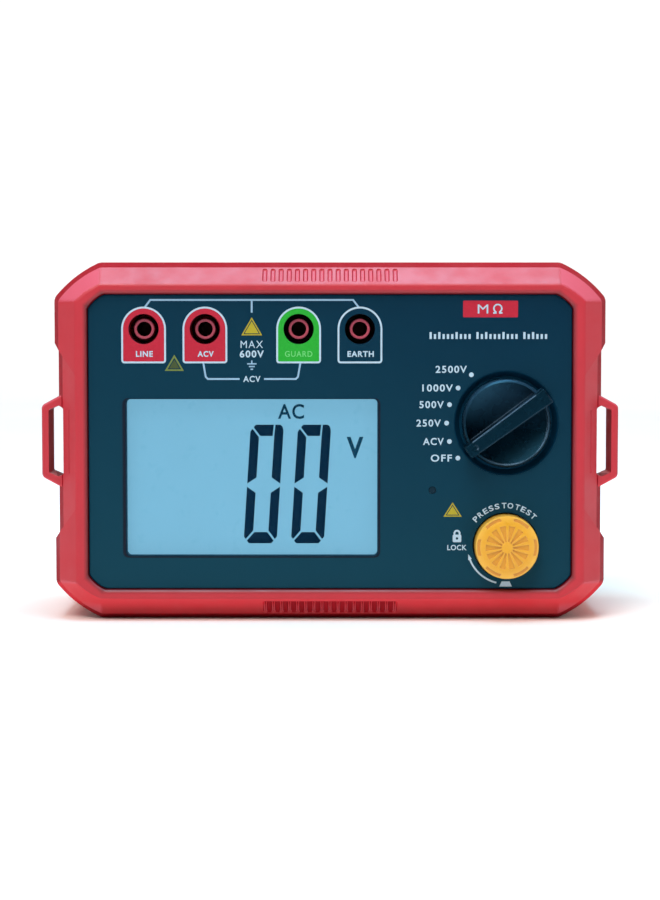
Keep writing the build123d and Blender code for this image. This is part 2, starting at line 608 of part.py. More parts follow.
# ---- test button ---------------------------------------------------------------------------------
def button_cap():
    """The yellow button: a shallow dome with edge notches and sunk rays, on a stem with lock lugs."""
    cap = rod(BUTTON_R, CAP_LOW_Z, BUTTON_TOP_Z)
    cap = fillet(edges_at(cap, BUTTON_TOP_Z), radius=1.1)
    dome = Pos(0, 0, BUTTON_TOP_Z + 0.2 - DOME_R) * Sphere(DOME_R)
    cap = (cap & dome) - rod(BUTTON_R - CAP_WALL, BELOW, BUTTON_TOP_Z - CAP_ROOF)
    band = Circle(NOTCH_R[1]) - Circle(NOTCH_R[0])
    notch = band & Pos(sum(NOTCH_R) / 2, 0, 0) * Rectangle(2.0, NOTCH_LENGTH)
    for index in range(NOTCH_COUNT):
        cap -= Rot(Z=360 / NOTCH_COUNT * index) * slab(notch, BUTTON_TOP_Z - NOTCH_DEPTH, ABOVE)
    ends = list(zip(RAY_R, RAY_HALF_WIDTH))
    wedge = make_face(Polyline(*ends, *[(r, -half) for r, half in reversed(ends)], close=True))
    for index in range(RAY_COUNT):
        cap -= Rot(Z=360 / RAY_COUNT * index) * slab(wedge, BUTTON_TOP_Z - RAY_DEPTH, ABOVE)
    cap += rod(STEM_R, STEM_STEP_Z, BUTTON_TOP_Z - 1.0) + rod(STEM_TIP_R, STEM_END_Z, STEM_STEP_Z + 1)
    lug = rod(LOCK_LUG_R, 52.0, 53.4) & block(3.0, 12, BELOW, ABOVE)
    return Pos(*BUTTON, 0) * (cap + lug)


def button_parts():
    """The test button, its spring, bayonet plate and switch contacts, and the contacts on the board."""
    parts["test_button_cap"] = button_cap()
    spring_low, spring_high = LOCK_PLATE_Z + 1.05, BUTTON_TOP_Z - CAP_ROOF - GAP
    coil = spring(5.7, 0.45, 2.7, spring_high - spring_low)
    parts["button_return_spring"] = Pos(*BUTTON, spring_low) * coil
    plate = tube(LOCK_PLATE_R, STEM_R + 0.15, LOCK_PLATE_Z, LOCK_PLATE_Z + 1.0 - GAP / 2)
    keyway = rod(LOCK_LUG_R + 0.4, BELOW, ABOVE) & block(4.4, 12, BELOW, ABOVE)
    parts["button_lock_plate"] = Pos(*BUTTON, 0) * (plate - keyway)
    carrier = block(14.0, 5.6, 47.1, 49.0) - rod(STEM_TIP_R + 0.06, BELOW, ABOVE)
    parts["contact_carrier"] = Pos(*BUTTON, 0) * carrier
    bridge = block(16.0, 4.6, 49.05, 49.3) - rod(2.8, BELOW, ABOVE)
    for side in (-1, 1):
        bridge += block(0.3, 3.0, STEM_END_Z, 49.3, (side * (BRIDGE_HALF + 0.65), 0))
        bridge += block(1.6, 3.0, STEM_END_Z, 46.85, (side * BRIDGE_HALF, 0))
    parts["contact_bridge"] = Pos(*BUTTON, 0) * bridge
    clip = tube(2.6, STEM_TIP_R, 46.7, 47.0) - block(1.6, 4, BELOW, ABOVE, (0, -2))
    parts["stem_clip"] = Pos(*BUTTON, 0) * clip
    copper_z = BOARD_TOP_Z + 0.01
    blade_places = [(BUTTON[0] + side * BRIDGE_HALF, BUTTON[1]) for side in (-1, 1)]
    blades = [block(1.6, 3.0, copper_z, 42.5, at) for at in blade_places]
    tracks = [tube(r + TRACK_HALF, r - TRACK_HALF, copper_z, COPPER_TOP_Z, KNOB) for r in TRACK_R]
    parts["board_contacts"] = gather(blades + tracks)


# ---- boards and components -----------------------------------------------------------------------
LAMP_LEGS = [(LAMP[0] + side * 0.8, LAMP[1]) for side in (-1, 1)]
LAMP_LEG_R = 0.25
CORE = (-42.0, -14.0)
CAN_PLACES = [(-10.0, -20.0), (3.0, -20.0)]
CAN_LOW_Z = 26.0
FILM_PLACES = [(-6.0, 6.0), (16.0, 6.0), (38.0, 6.0)]
CHIPS = [  # size along X and Y, height and place
    (14.0, 14.0, 1.55, (26.0, 30.0)),
    (10.0, 6.0, 1.35, (-30.0, 12.0)),
    (10.0, 6.0, 1.35, (-50.0, 8.0)),
    (8.0, 5.0, 1.35, (-8.0, -10.0)),
]
RESISTOR_COUNT = 6
RESISTOR_R = 1.5
RESISTOR_FIRST = (-56.0, 22.0)
RESISTOR_PITCH = 7.0
FUSE = (22.0, 30.0)
FUSE_Z = BOARD_Z - 4.4
FUSE_R = 2.6
FUSE_LENGTH = 20.0
SOUNDER = (56.0, 24.0)


def main_board():
    """The main circuit board, cut back round the case bosses and drilled for what passes through it."""
    board = slab(case_plan(CASE_WALL + 0.8, 1.0), BOARD_Z, BOARD_TOP_Z)
    holes = [(4.6, at) for at in corners(*BOSS)]
    holes += [(SCREW_CLEAR_R, at) for at in corners(*BOARD_POST)]
    holes += [(SOLDER_PIN_R + 0.1, (x, JACK_Y)) for x in JACK_X.values()]
    holes += [(LAMP_LEG_R + GAP, at) for at in LAMP_LEGS]
    for radius, at in holes:
        board -= rod(radius, BELOW, ABOVE, at)
    return board


def fuse_clip(x):
    """A spring clip that holds one end of the fuse under the board."""
    cradle = block(4, 7.2, BOARD_Z - 6.6, BOARD_LOW_Z, (x, FUSE[1]))
    cradle -= Pos(x, FUSE[1], FUSE_Z) * Rot(Y=90) * Cylinder(FUSE_R + GAP, 9)
    return cradle - block(5, 3.2, BELOW, BOARD_Z - 5, (x, FUSE[1]))


def components():
    """What the circuit needs, in place on the boards."""
    parts["main_board"] = main_board()
    frame = block(24, 20, 24, BOARD_LOW_Z, CORE) - block(16, 30, 28, 36, CORE)
    parts["transformer_core"] = frame + block(7, 20, 26, 38, CORE)
    parts["transformer_winding"] = block(15.6, 22, 28.2, 35.8, CORE) - block(7.2, 30, BELOW, ABOVE, CORE)
    cans = [rod(5.0, CAN_LOW_Z, BOARD_LOW_Z, at) for at in CAN_PLACES]
    parts["electrolytic_capacitors"] = gather([fillet(edges_at(can, CAN_LOW_Z), radius=0.8) for can in cans])
    boxes = [block(18, 7, 27, BOARD_LOW_Z, at) for at in FILM_PLACES]
    parts["film_capacitors"] = gather([fillet(box.edges(), radius=0.8) for box in boxes])
    chips = [block(size_x, size_y, BOARD_SEAT_Z, BOARD_SEAT_Z + h, at) for size_x, size_y, h, at in CHIPS]
    parts["chips"] = gather(chips)
    body = Rot(X=90) * Cylinder(RESISTOR_R, 9)
    body = fillet(body.edges(), radius=0.4)
    first_x, y = RESISTOR_FIRST
    row = [Pos(first_x + RESISTOR_PITCH * i, y, BOARD_Z - 2.0) * body for i in range(RESISTOR_COUNT)]
    parts["high_voltage_resistors"] = gather(row)
    parts["fuse"] = Pos(*FUSE, FUSE_Z) * Rot(Y=90) * Cylinder(FUSE_R, FUSE_LENGTH)
    parts["fuse_clips"] = gather([fuse_clip(FUSE[0] + side * 7.5) for side in (-1, 1)])
    parts["sounder"] = rod(6.0, 32.5, BOARD_LOW_Z, SOUNDER) - rod(0.9, BELOW, 34, SOUNDER)
    lamp = rod(0.95, 59.0, PANEL_Z - 0.25, LAMP) + rod(1.5, 56.0, 59.2, LAMP)
    parts["warning_lamp"] = lamp + [rod(LAMP_LEG_R, BOARD_Z - 1.0, 56.1, at) for at in LAMP_LEGS]


# ---- batteries -----------------------------------------------------------------------------------
def battery_pack():
    """Six cells in two columns, joined by springs and plates at both ends of the bay."""
    cells, springs, plates = [], [], []
    wall = BAY[0] / 2
    end = wall - PLATE_SPACE
    spring_space = end - MIDDLE_HALF - CELL_LENGTH - NUB_LENGTH
    cell = Pos(0, 0, CELL_LENGTH / 2) * Cylinder(CELL_R, CELL_LENGTH)
    cell = fillet(cell.edges(), radius=0.6)
    cell += rod(NUB_R, CELL_LENGTH - 0.1, CELL_LENGTH + NUB_LENGTH)
    coil = spring(3.6, 0.4, 1.5, spring_space - GAP)
    for y in (-CELL_PITCH, 0, CELL_PITCH):
        for side in (-1, 1):
            # The nub points to the middle in the outer rows and to the end wall in the middle row.
            inward = y != 0
            spring_x = end if inward else MIDDLE_HALF
            tail_x = spring_x - spring_space if inward else spring_x + spring_space
            turn = Rot(Y=90 * (-side if inward else side))
            cells.append(Pos(side * tail_x, y, CELL_Z) * turn * cell)
            springs.append(Pos(side * spring_x, y, CELL_Z) * turn * coil)
            plates += [block(0.38, 10, 6.5, 16.5, (side * x, y)) for x in (wall - 0.2, 1.0)]
    for y in (-CELL_PITCH, CELL_PITCH):
        plates.append(block(3.0, 2.6, CELL_Z - 1.4, CELL_Z + 1.6, (-(wall + 1.52), y)))
    parts["batteries"] = gather(cells)
    parts["battery_springs"] = gather(springs)
    parts["battery_plates"] = gather(plates)


def battery_lead(side):
    """One insulated lead from the bay's end tab up to the main board."""
    x, y, end_y = -(BAY[0] / 2 + 4.6), side * CELL_PITCH, side * 20.0
    points = [(x, y, 12.5), (x - 2.5, y, 20.0), (x - 1.5, end_y, 29.0), (x + 2.0, end_y, BOARD_Z - 0.3)]
    line = FilletPolyline(*points, radius=4.0)
    profile = Plane(origin=line @ 0, z_dir=line % 0) * Circle(0.7)
    return sweep(profile, path=line)


# ---- assembly ------------------------------------------------------------------------------------
def place(shape):
    """From the bench frame to the row frame: stood on its lower edge, facing -Y, centred on Z."""
    return Pos(0, DEPTH / 2, HALF_H) * Rot(X=90) * shape


def build():
    """Makes every part in the bench frame."""
    parts["front_bezel"] = front_bezel()
    parts["front_case"] = front_case()
    parts["panel_film"] = panel_film()
    parts["rear_holster"] = rear_holster()
    parts["rear_case"] = rear_case()
    parts["battery_door"] = battery_door()
    parts["rubber_feet"] = rubber_feet()
    fasteners()
    display()
    for name, x in JACK_X.items():
        socket(name, x)
    range_switch()
    button_parts()
    components()
    battery_pack()
    parts["battery_lead_positive"] = battery_lead(1)
    parts["battery_lead_negative"] = battery_lead(-1)


build()
os.makedirs("parts", exist_ok=True)
for node, shape in parts.items():
    export_step(place(shape), f"parts/{node}.step")
print(len(parts), "nodes")
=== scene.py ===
import json
import math

import bpy
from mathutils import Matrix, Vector
from mathutils.geometry import tessellate_polygon


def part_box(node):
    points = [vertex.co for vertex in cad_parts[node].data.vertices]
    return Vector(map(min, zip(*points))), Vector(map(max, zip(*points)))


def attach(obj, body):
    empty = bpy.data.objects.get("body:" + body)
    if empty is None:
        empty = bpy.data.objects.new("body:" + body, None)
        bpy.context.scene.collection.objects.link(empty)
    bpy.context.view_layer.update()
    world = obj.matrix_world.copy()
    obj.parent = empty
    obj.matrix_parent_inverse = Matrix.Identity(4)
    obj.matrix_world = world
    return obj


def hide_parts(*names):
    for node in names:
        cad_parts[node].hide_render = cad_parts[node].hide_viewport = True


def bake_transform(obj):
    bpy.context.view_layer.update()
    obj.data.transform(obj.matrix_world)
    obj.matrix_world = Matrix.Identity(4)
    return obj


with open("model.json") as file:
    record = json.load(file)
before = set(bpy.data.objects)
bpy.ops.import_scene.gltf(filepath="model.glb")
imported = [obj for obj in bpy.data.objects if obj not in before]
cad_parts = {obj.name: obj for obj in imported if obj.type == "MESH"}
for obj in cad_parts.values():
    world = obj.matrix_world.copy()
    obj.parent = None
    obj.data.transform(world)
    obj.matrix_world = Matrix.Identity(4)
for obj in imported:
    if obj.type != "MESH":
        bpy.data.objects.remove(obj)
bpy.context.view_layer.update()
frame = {"nodes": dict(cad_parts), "record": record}

MM = 0.001
scene = bpy.context.scene
SLOT_OF = {entry["node"]: entry["material_slot"] for entry in frame["record"]["subparts"]}


# ---- places taken from the frame ---------------------------------------------------------------
def middle(node):
    """The middle of a CAD node's box."""
    low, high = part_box(node)
    return (low + high) / 2


film_low, film_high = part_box("panel_film")
PANEL_Y = film_low.y  # the panel faces -Y
PANEL_MID = (film_low + film_high) / 2
SOCKETS = ("line", "voltage", "guard", "earth")


def panel_place(node):
    """A node's middle on the panel, in millimetres right of and above the panel's middle."""
    place = middle(node) - PANEL_MID
    return Vector((place.x, place.z)) / MM


SOCKET_AT = {name: panel_place("socket_contact_" + name) for name in SOCKETS}
DISPLAY_AT = panel_place("display_lens")
KNOB_AT = panel_place("detent_ring")
BUTTON_AT = panel_place("button_lock_plate")


# ---- mesh helpers --------------------------------------------------------------------------------
class Shape:
    """Points and faces of one piece, gathered before it becomes an object."""

    def __init__(self):
        self.points = []
        self.faces = []

    def add(self, points, faces):
        """Take in more points, and faces that count those points from zero."""
        first = len(self.points)
        self.points += [Vector(p) for p in points]
        self.faces += [tuple(first + i for i in face) for face in faces]

    def build(self, name, material, smooth=False):
        """The gathered points and faces as one object."""
        mesh = bpy.data.meshes.new(name)
        mesh.from_pydata([tuple(p) for p in self.points], [], self.faces)
        mesh.validate()
        if smooth:
            mesh.shade_smooth()
        else:
            mesh.shade_flat()
        mesh.materials.append(material)
        obj = bpy.data.objects.new(name, mesh)
        scene.collection.objects.link(obj)
        return obj

    def piece(self, name, body, material, smooth=False):
        """The gathered points and faces as one object that rides on a body."""
        obj = self.build(name, material, smooth)
        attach(obj, body)


def on_panel(u, v, lift, base=None):
    """A point u right and v up from the panel's middle and lift in front of a depth, in millimetres."""
    depth = PANEL_Y if base is None else base
    return Vector((PANEL_MID.x + u * MM, depth - lift * MM, PANEL_MID.z + v * MM))


def flat_solid(shape, loops, low, high, base=None):
    """A thin closed solid on the panel. The first loop is its outline and the others are holes."""
    rings = [[Vector((u, v, 0)) for u, v in loop] for loop in loops]
    flat = [p for ring in rings for p in ring]
    count = len(flat)
    points = [on_panel(p.x, p.y, lift, base) for lift in (low, high) for p in flat]
    faces = []
    for a, b, c in tessellate_polygon(rings):
        turn = (flat[b] - flat[a]).cross(flat[c] - flat[a]).z
        if abs(turn) < 1e-12:
            continue
        if turn < 0:
            b, c = c, b
        faces.append((a, c, b))
        faces.append((a + count, b + count, c + count))
    start = 0
    for number, ring in enumerate(rings):
        size = len(ring)
        area = sum(ring[i - 1].cross(ring[i]).z for i in range(size))
        forward = (area > 0) == (number == 0)
        for i in range(size):
            a, b = start + i, start + (i + 1) % size
            if not forward:
                a, b = b, a
            faces.append((a, b, b + count, a + count))
        start += size
    shape.add(points, faces)


def around(at, radius, degrees):
    """The point at an angle on a circle."""
    angle = math.radians(degrees)
    return (at[0] + radius * math.cos(angle), at[1] + radius * math.sin(angle))


def circle(at, radius, steps=48):
    """Points round a circle."""
    return [around(at, radius, 360 * i / steps) for i in range(steps)]


def arc(at, radius, start, end, steps=24):
    """Points along part of a circle, from one angle to another in degrees."""
    return [around(at, radius, start + (end - start) * i / steps) for i in range(steps + 1)]


def rounded_box(at, width, height, radius, steps=6):
    """Points round a rectangle with round corners."""
    points = []
    for sx, sy, start in ((1, 1, 0), (-1, 1, 90), (-1, -1, 180), (1, -1, 270)):
        corner = (at[0] + sx * (width / 2 - radius), at[1] + sy * (height / 2 - radius))
        points += arc(corner, radius, start, start + 90, steps)
    return points


def box_loop(at, width, height):
    """The corners of a rectangle."""
    x, y = width / 2, height / 2
    return [(at[0] - x, at[1] - y), (at[0] + x, at[1] - y), (at[0] + x, at[1] + y), (at[0] - x, at[1] + y)]


def stroke(points, width, closed=False):
    """The outline of a line of a given width: one loop, or an outline and a hole when it is closed."""
    path = [Vector(p) for p in points]
    size = len(path)
    left, right = [], []
    for i, here in enumerate(path):
        before = path[i - 1] if (i or closed) else here
        after = path[(i + 1) % size] if (i < size - 1 or closed) else here
        into = (here - before).normalized() if (here - before).length else (after - here).normalized()
        out = (after - here).normalized() if (after - here).length else into
        bisector = into + out
        bisector = bisector.normalized() if bisector.length > 1e-6 else into
        normal = Vector((-bisector.y, bisector.x))
        reach = width / 2 / max(0.4, normal.dot(Vector((-into.y, into.x))))
        left.append(tuple(here + normal * reach))
        right.append(tuple(here - normal * reach))
    return [left, right] if closed else [left + right[::-1]]


def lettering(shape, words, at, height, width, turn=0.0, low=0.0, high=0.03, weight=0.0, base=None,
              right=False, spacing=1.0):
    """Words on the panel, centred on a point (or ending there), made to a cap height and a width."""
    curve = bpy.data.curves.new("words", "FONT")
    curve.body = words
    curve.size = 1.0
    curve.space_character = spacing
    curve.offset = weight
    curve.extrude = 0.1
    curve.resolution_u = 4
    holder = bpy.data.objects.new("words", curve)
    scene.collection.objects.link(holder)
    bpy.context.view_layer.update()
    drawn = holder.evaluated_get(bpy.context.evaluated_depsgraph_get())
    mesh = bpy.data.meshes.new_from_object(drawn)
    xs = [v.co.x for v in mesh.vertices]
    ys = [v.co.y for v in mesh.vertices]
    zs = [v.co.z for v in mesh.vertices]
    scale_y = height / (max(ys) - min(ys))
    scale_x = width / (max(xs) - min(xs))
    mid_x = max(xs) if right else (max(xs) + min(xs)) / 2
    mid_y = (max(ys) + min(ys)) / 2
    cos, sin = math.cos(math.radians(turn)), math.sin(math.radians(turn))
    points = []
    for v in mesh.vertices:
        x, y = (v.co.x - mid_x) * scale_x, (v.co.y - mid_y) * scale_y
        lift = low + (high - low) * (v.co.z - min(zs)) / (max(zs) - min(zs))
        points.append(on_panel(at[0] + x * cos - y * sin, at[1] + x * sin + y * cos, lift, base))
    shape.add(points, [tuple(p.vertices) for p in mesh.polygons])
    bpy.data.objects.remove(holder)
    bpy.data.meshes.remove(mesh)
    bpy.data.curves.remove(curve)


# ---- materials -----------------------------------------------------------------------------------
def linear(red, green, blue):
    """A display colour, each part 0 to 255, as the linear colour that a shader takes."""
    values = []
    for value in (red, green, blue):
        part = value / 255
        values.append(part / 12.92 if part <= 0.04045 else ((part + 0.055) / 1.055) ** 2.4)
    return (*values, 1.0)


def shade(colour, factor):
    """A colour made darker or lighter."""
    return (*[min(1.0, c * factor) for c in colour[:3]], 1.0)


class Surface:
    """A node material: one Principled shader with helpers for what varies over the surface."""

    def __init__(self, name, roughness=0.5, metallic=0.0, specular=0.25):
        self.material = bpy.data.materials.new(name)
        self.material.use_nodes = True
        self.tree = self.material.node_tree
        self.tree.nodes.clear()
        output = self.tree.nodes.new("ShaderNodeOutputMaterial")
        self.shader = self.tree.nodes.new("ShaderNodeBsdfPrincipled")
        self.tree.links.new(self.shader.outputs["BSDF"], output.inputs["Surface"])
        self.set("Roughness", roughness)
        self.set("Metallic", metallic)
        self.set("Specular IOR Level", specular)
        self.place = self.tree.nodes.new("ShaderNodeTexCoord").outputs["Object"]

    def set(self, name, value):
        """Give one of the shader's sockets a value."""
        self.shader.inputs[name].default_value = value

    def link(self, source, name):
        """Drive one of the shader's sockets."""
        self.tree.links.new(source, self.shader.inputs[name])

    def noise(self, scale, detail=4.0, roughness=0.55, stretch=None):
        """Noise over the surface; scale is per metre."""
        node = self.tree.nodes.new("ShaderNodeTexNoise")
        node.inputs["Scale"].default_value = scale
        node.inputs["Detail"].default_value = detail
        node.inputs["Roughness"].default_value = roughness
        place = self.place
        if stretch:
            mapping = self.tree.nodes.new("ShaderNodeMapping")
            mapping.inputs["Scale"].default_value = stretch
            self.tree.links.new(place, mapping.inputs["Vector"])
            place = mapping.outputs["Vector"]
        self.tree.links.new(place, node.inputs["Vector"])
        return node.outputs["Fac"]

    def cells(self, scale):
        """Small round cells, as on a sprayed or sparked mould texture."""
        node = self.tree.nodes.new("ShaderNodeTexVoronoi")
        node.inputs["Scale"].default_value = scale
        self.tree.links.new(self.place, node.inputs["Vector"])
        return node.outputs["Distance"]

    def ramp(self, source, stops):
        """Colours along a value."""
        node = self.tree.nodes.new("ShaderNodeValToRGB")
        elements = node.color_ramp.elements
        while len(elements) < len(stops):
            elements.new(0.5)
        for element, (where, colour) in zip(elements, stops):
            element.position = where
            element.color = colour
        self.tree.links.new(source, node.inputs["Fac"])
        return node.outputs["Color"]

    def spread(self, source, low, high, start=0.0, end=1.0):
        """A value moved from one range to another."""
        node = self.tree.nodes.new("ShaderNodeMapRange")
        node.inputs["From Min"].default_value = start
        node.inputs["From Max"].default_value = end
        node.inputs["To Min"].default_value = low
        node.inputs["To Max"].default_value = high
        self.tree.links.new(source, node.inputs["Value"])
        return node.outputs["Result"]

    def part(self, vector, name):
        """One part of a vector, named X, Y or Z."""
        node = self.tree.nodes.new("ShaderNodeSeparateXYZ")
        self.tree.links.new(vector, node.inputs["Vector"])
        return node.outputs[name]

    def axis(self, name):
        """One of the surface's coordinates, in metres."""
        return self.part(self.place, name)

    def facing(self, name):
        """One part of the direction that the surface's face looks in."""
        return self.part(self.tree.nodes.new("ShaderNodeNewGeometry").outputs["True Normal"], name)

    def mix(self, factor, first, second):
        """Two colours mixed by a factor, each of the three a value or a socket."""
        node = self.tree.nodes.new("ShaderNodeMix")
        node.data_type = "RGBA"
        for socket, value in ((node.inputs[0], factor), (node.inputs[6], first), (node.inputs[7], second)):
            if isinstance(value, bpy.types.NodeSocket):
                self.tree.links.new(value, socket)
            else:
                socket.default_value = value
        return node.outputs[2]

    def math(self, operation, first, second=0.0):
        """One step of arithmetic on values or sockets."""
        node = self.tree.nodes.new("ShaderNodeMath")
        node.operation = operation
        for socket, value in zip(node.inputs, (first, second)):
            if isinstance(value, bpy.types.NodeSocket):
                self.tree.links.new(value, socket)
            else:
                socket.default_value = value
        return node.outputs[0]

    def bump(self, *heights, strength=0.3):
        """Relief from (socket, height in metres) pairs."""
        normal = None
        for source, distance in heights:
            node = self.tree.nodes.new("ShaderNodeBump")
            node.inputs["Strength"].default_value = strength
            node.inputs["Distance"].default_value = distance
            self.tree.links.new(source, node.inputs["Height"])
            if normal:
                self.tree.links.new(normal, node.inputs["Normal"])
            normal = node.outputs["Normal"]
        self.link(normal, "Normal")

    def edges(self, radius, flat=0.98, sharp=0.80):
        """How far the surface turns within a radius: 0 on flats and up to 1 on sharp edges."""
        bevel = self.tree.nodes.new("ShaderNodeBevel")
        bevel.samples = 4
        bevel.inputs["Radius"].default_value = radius
        geometry = self.tree.nodes.new("ShaderNodeNewGeometry")
        dot = self.tree.nodes.new("ShaderNodeVectorMath")
        dot.operation = "DOT_PRODUCT"
        self.rounded = bevel.outputs["Normal"]
        self.tree.links.new(self.rounded, dot.inputs[0])
        self.tree.links.new(geometry.outputs["Normal"], dot.inputs[1])
        return self.spread(dot.outputs["Value"], 1.0, 0.0, sharp, flat)


def moulded(name, colour, roughness, grain=0.00002, grain_scale=9000.0, vary=0.10, tint=None, **more):
    """Moulded plastic or rubber: slight colour and gloss changes, mould grain and paler worn edges."""
    s = Surface(name, roughness=roughness, **more)
    if tint:
        s.set("Specular Tint", tint)
    broad = s.noise(60.0, 5.0)
    tone = s.ramp(broad, [(0.3, shade(colour, 1 - vary)), (0.7, shade(colour, 1 + vary))])
    s.link(s.mix(s.spread(s.edges(0.0004), 0.0, 0.18), tone, shade(colour, 1.7)), "Base Color")
    s.link(s.spread(s.noise(220.0, 3.0), roughness - 0.06, roughness + 0.08, 0.3, 0.7), "Roughness")
    s.bump((s.noise(grain_scale, 2.0), grain), (s.noise(900.0, 3.0), grain * 2))
    return s.material


def metal(name, colour, roughness):
    """Plated or bare metal with a drawn grain."""
    s = Surface(name, roughness=roughness, metallic=1.0)
    grain = s.noise(1500.0, 4.0, stretch=(1.0, 8.0, 1.0))
    s.link(s.ramp(grain, [(0.25, shade(colour, 0.82)), (0.75, shade(colour, 1.12))]), "Base Color")
    s.link(s.spread(s.noise(400.0), roughness - 0.08, roughness + 0.12, 0.3, 0.7), "Roughness")
    s.bump((grain, 0.000008))
    return s.material


def ink(name, colour, roughness=0.42, specular=0.2):
    """Screen-printed ink, with a little spread in how thickly it lies."""
    s = Surface(name, roughness=roughness, specular=specular)
    s.link(s.ramp(s.noise(1800.0), [(0.3, shade(colour, 0.93)), (0.7, shade(colour, 1.05))]), "Base Color")
    s.link(s.spread(s.noise(500.0), roughness - 0.05, roughness + 0.08, 0.3, 0.7), "Roughness")
    s.bump((s.noise(5000.0, 2.0), 0.000005))
    return s.material


def from_opening(s):
    """How far a point of the frame lies outside the panel's opening, a rectangle with cut corners."""
    margin = 0.3 * MM
    corner_cut = 3.4 * MM
    slant = math.radians(49.7)
    half_w = film_high.x + margin
    half_h = film_high.z - PANEL_MID.z + margin
    to_cut = half_w * math.cos(slant) + (half_h - corner_cut) * math.sin(slant)
    across = s.math("ABSOLUTE", s.axis("X"))
    up = s.math("ABSOLUTE", s.math("SUBTRACT", s.axis("Z"), PANEL_MID.z))
    cut = s.math("ADD", s.math("MULTIPLY", across, math.cos(slant)), s.math("MULTIPLY", up, math.sin(slant)))
    outside = s.math("MAXIMUM", s.math("SUBTRACT", across, half_w), s.math("SUBTRACT", up, half_h))
    return s.math("MAXIMUM", outside, s.math("SUBTRACT", cut, to_cut))


def red_elastomer(name, specular, wall_painted_shade):
    """The soft-touch overmould: a satin red with painted shade on its walls, round the panel's opening and
    near the foot, and painted highlights on its corner facets and towards the lower slope's ridge.
    """
    colour = linear(186, 18, 35)
    s = Surface(name, roughness=0.5, specular=specular)
    tone = s.ramp(s.noise(45.0, 5.0), [(0.3, shade(colour, 0.95)), (0.7, shade(colour, 1.05))])
    # painted shade: faces that lean away from the front turn a darker red, by the amount given for walls
    leaning = s.spread(s.math("MULTIPLY", s.facing("Y"), -1.0), 1.0, 0.0, 0.42, 0.58)
    tone = s.mix(s.math("MULTIPLY", leaning, wall_painted_shade), tone, shade(colour, 0.3))
    # painted highlight: a paler pink on the corner facets that face the front
    diagonal = s.math("ABSOLUTE", s.math("MULTIPLY", s.facing("X"), s.facing("Z")))
    corner = s.math("SUBTRACT", s.spread(diagonal, 0.0, 0.3, 0.08, 0.2), leaning)
    tone = s.mix(s.math("MAXIMUM", corner, 0.0), tone, linear(236, 120, 142))
    # painted shade on the downward faces near the foot, and a painted highlight on them towards the ridge
    # above
    down = s.spread(s.facing("Z"), 1.0, 0.0, -0.5, -0.2)
    foot = s.spread(s.axis("Z"), 0.3, 0.0, 0.0, 4.2 * MM)
    tone = s.mix(s.math("MULTIPLY", down, foot), tone, shade(colour, 0.25))
    ridge_highlight = s.spread(s.axis("Z"), 0.0, 1.0, 3.0 * MM, 5.2 * MM)
    tone = s.mix(s.math("MULTIPLY", down, ridge_highlight), tone, shade(colour, 1.4))
    # painted shade: a much darker red round the panel's opening
    tone = s.mix(s.spread(from_opening(s), 0.88, 0.0, 0.0, 1.5 * MM), tone, shade(colour, 0.06))
    worn = s.math("MULTIPLY", s.edges(0.0007), s.spread(s.noise(300.0), 0.0, 0.25, 0.35, 0.7))
    s.link(s.mix(worn, tone, linear(214, 70, 84)), "Base Color")
    s.link(s.spread(s.noise(160.0), 0.42, 0.56, 0.3, 0.7), "Roughness")
    s.bump((s.cells(5200.0), 0.000018), (s.noise(700.0, 3.0), 0.00002), strength=0.35)
    return s.material


def panel_film():
    """Deep teal printed film with a fine matt surface; painted shade makes it darker towards its upper right
    and paler towards its lower left.
    """
    dark, pale = linear(3, 38, 57), linear(15, 57, 71)
    s = Surface("panel_film", roughness=0.36, specular=0.13)
    s.set("Specular Tint", linear(190, 228, 240))
    # painted shade and light: a colour gradient by height and across the film
    height = s.spread(s.axis("Z"), 0.0, 1.0, film_high.z, film_low.z)
    across = s.spread(s.axis("X"), 1.0, 0.0, film_low.x, film_high.x)
    where = s.math("ADD", s.math("MULTIPLY", height, 0.72), s.math("MULTIPLY", across, 0.28))
    cloud = s.spread(s.noise(25.0, 4.0), -0.05, 0.05, 0.3, 0.7)
    s.link(s.ramp(s.math("ADD", where, cloud), [(0.0, dark), (1.0, pale)]), "Base Color")
    s.link(s.spread(s.noise(350.0), 0.32, 0.42, 0.3, 0.7), "Roughness")
    s.bump((s.noise(11000.0, 2.0), 0.000006), (s.noise(60.0, 2.0), 0.00002), strength=0.25)
    return s.material


def clear_lens():
    """Clear acrylic over the display."""
    s = Surface("display_lens", roughness=0.06, specular=0.14)
    s.set("Base Color", linear(12, 34, 50))
    s.set("Alpha", 0.08)
    s.set("IOR", 1.49)
    s.link(s.spread(s.noise(90.0), 0.04, 0.09, 0.3, 0.7), "Roughness")
    return s.material


def display_glass():
    """The lit display: an even pale blue field over faintly clouded glass."""
    lit = linear(122, 186, 216)
    s = Surface("lcd_glass", roughness=0.3)
    s.link(s.ramp(s.noise(30.0), [(0.3, shade(lit, 0.22)), (0.7, shade(lit, 0.28))]), "Base Color")
    s.link(s.spread(s.noise(400.0), 0.26, 0.34, 0.3, 0.7), "Roughness")
    s.set("Emission Color", lit)
    s.set("Emission Strength", 0.90)
    return s.material


def circuit_board():
    """Green solder mask with paler copper areas under it."""
    mask, copper = linear(14, 84, 48), linear(40, 128, 70)
    s = Surface("circuit_board", roughness=0.35, specular=0.5)
    bricks = s.tree.nodes.new("ShaderNodeTexBrick")
    bricks.inputs["Scale"].default_value = 260.0
    bricks.inputs["Mortar Size"].default_value = 0.02
    s.tree.links.new(s.place, bricks.inputs["Vector"])
    tracks = bricks.outputs["Fac"]
    tone = s.ramp(s.noise(400.0), [(0.3, shade(mask, 0.85)), (0.7, shade(mask, 1.15))])
    s.link(s.mix(s.spread(tracks, 0.0, 0.8), tone, copper), "Base Color")
    s.bump((tracks, 0.00003))
    return s.material


def radius_of(s, first, second):
    """The length of two offsets at right angles to each other."""
    squares = [s.math("MULTIPLY", offset, offset) for offset in (first, second)]
    return s.math("POWER", s.math("ADD", *squares), 0.5)


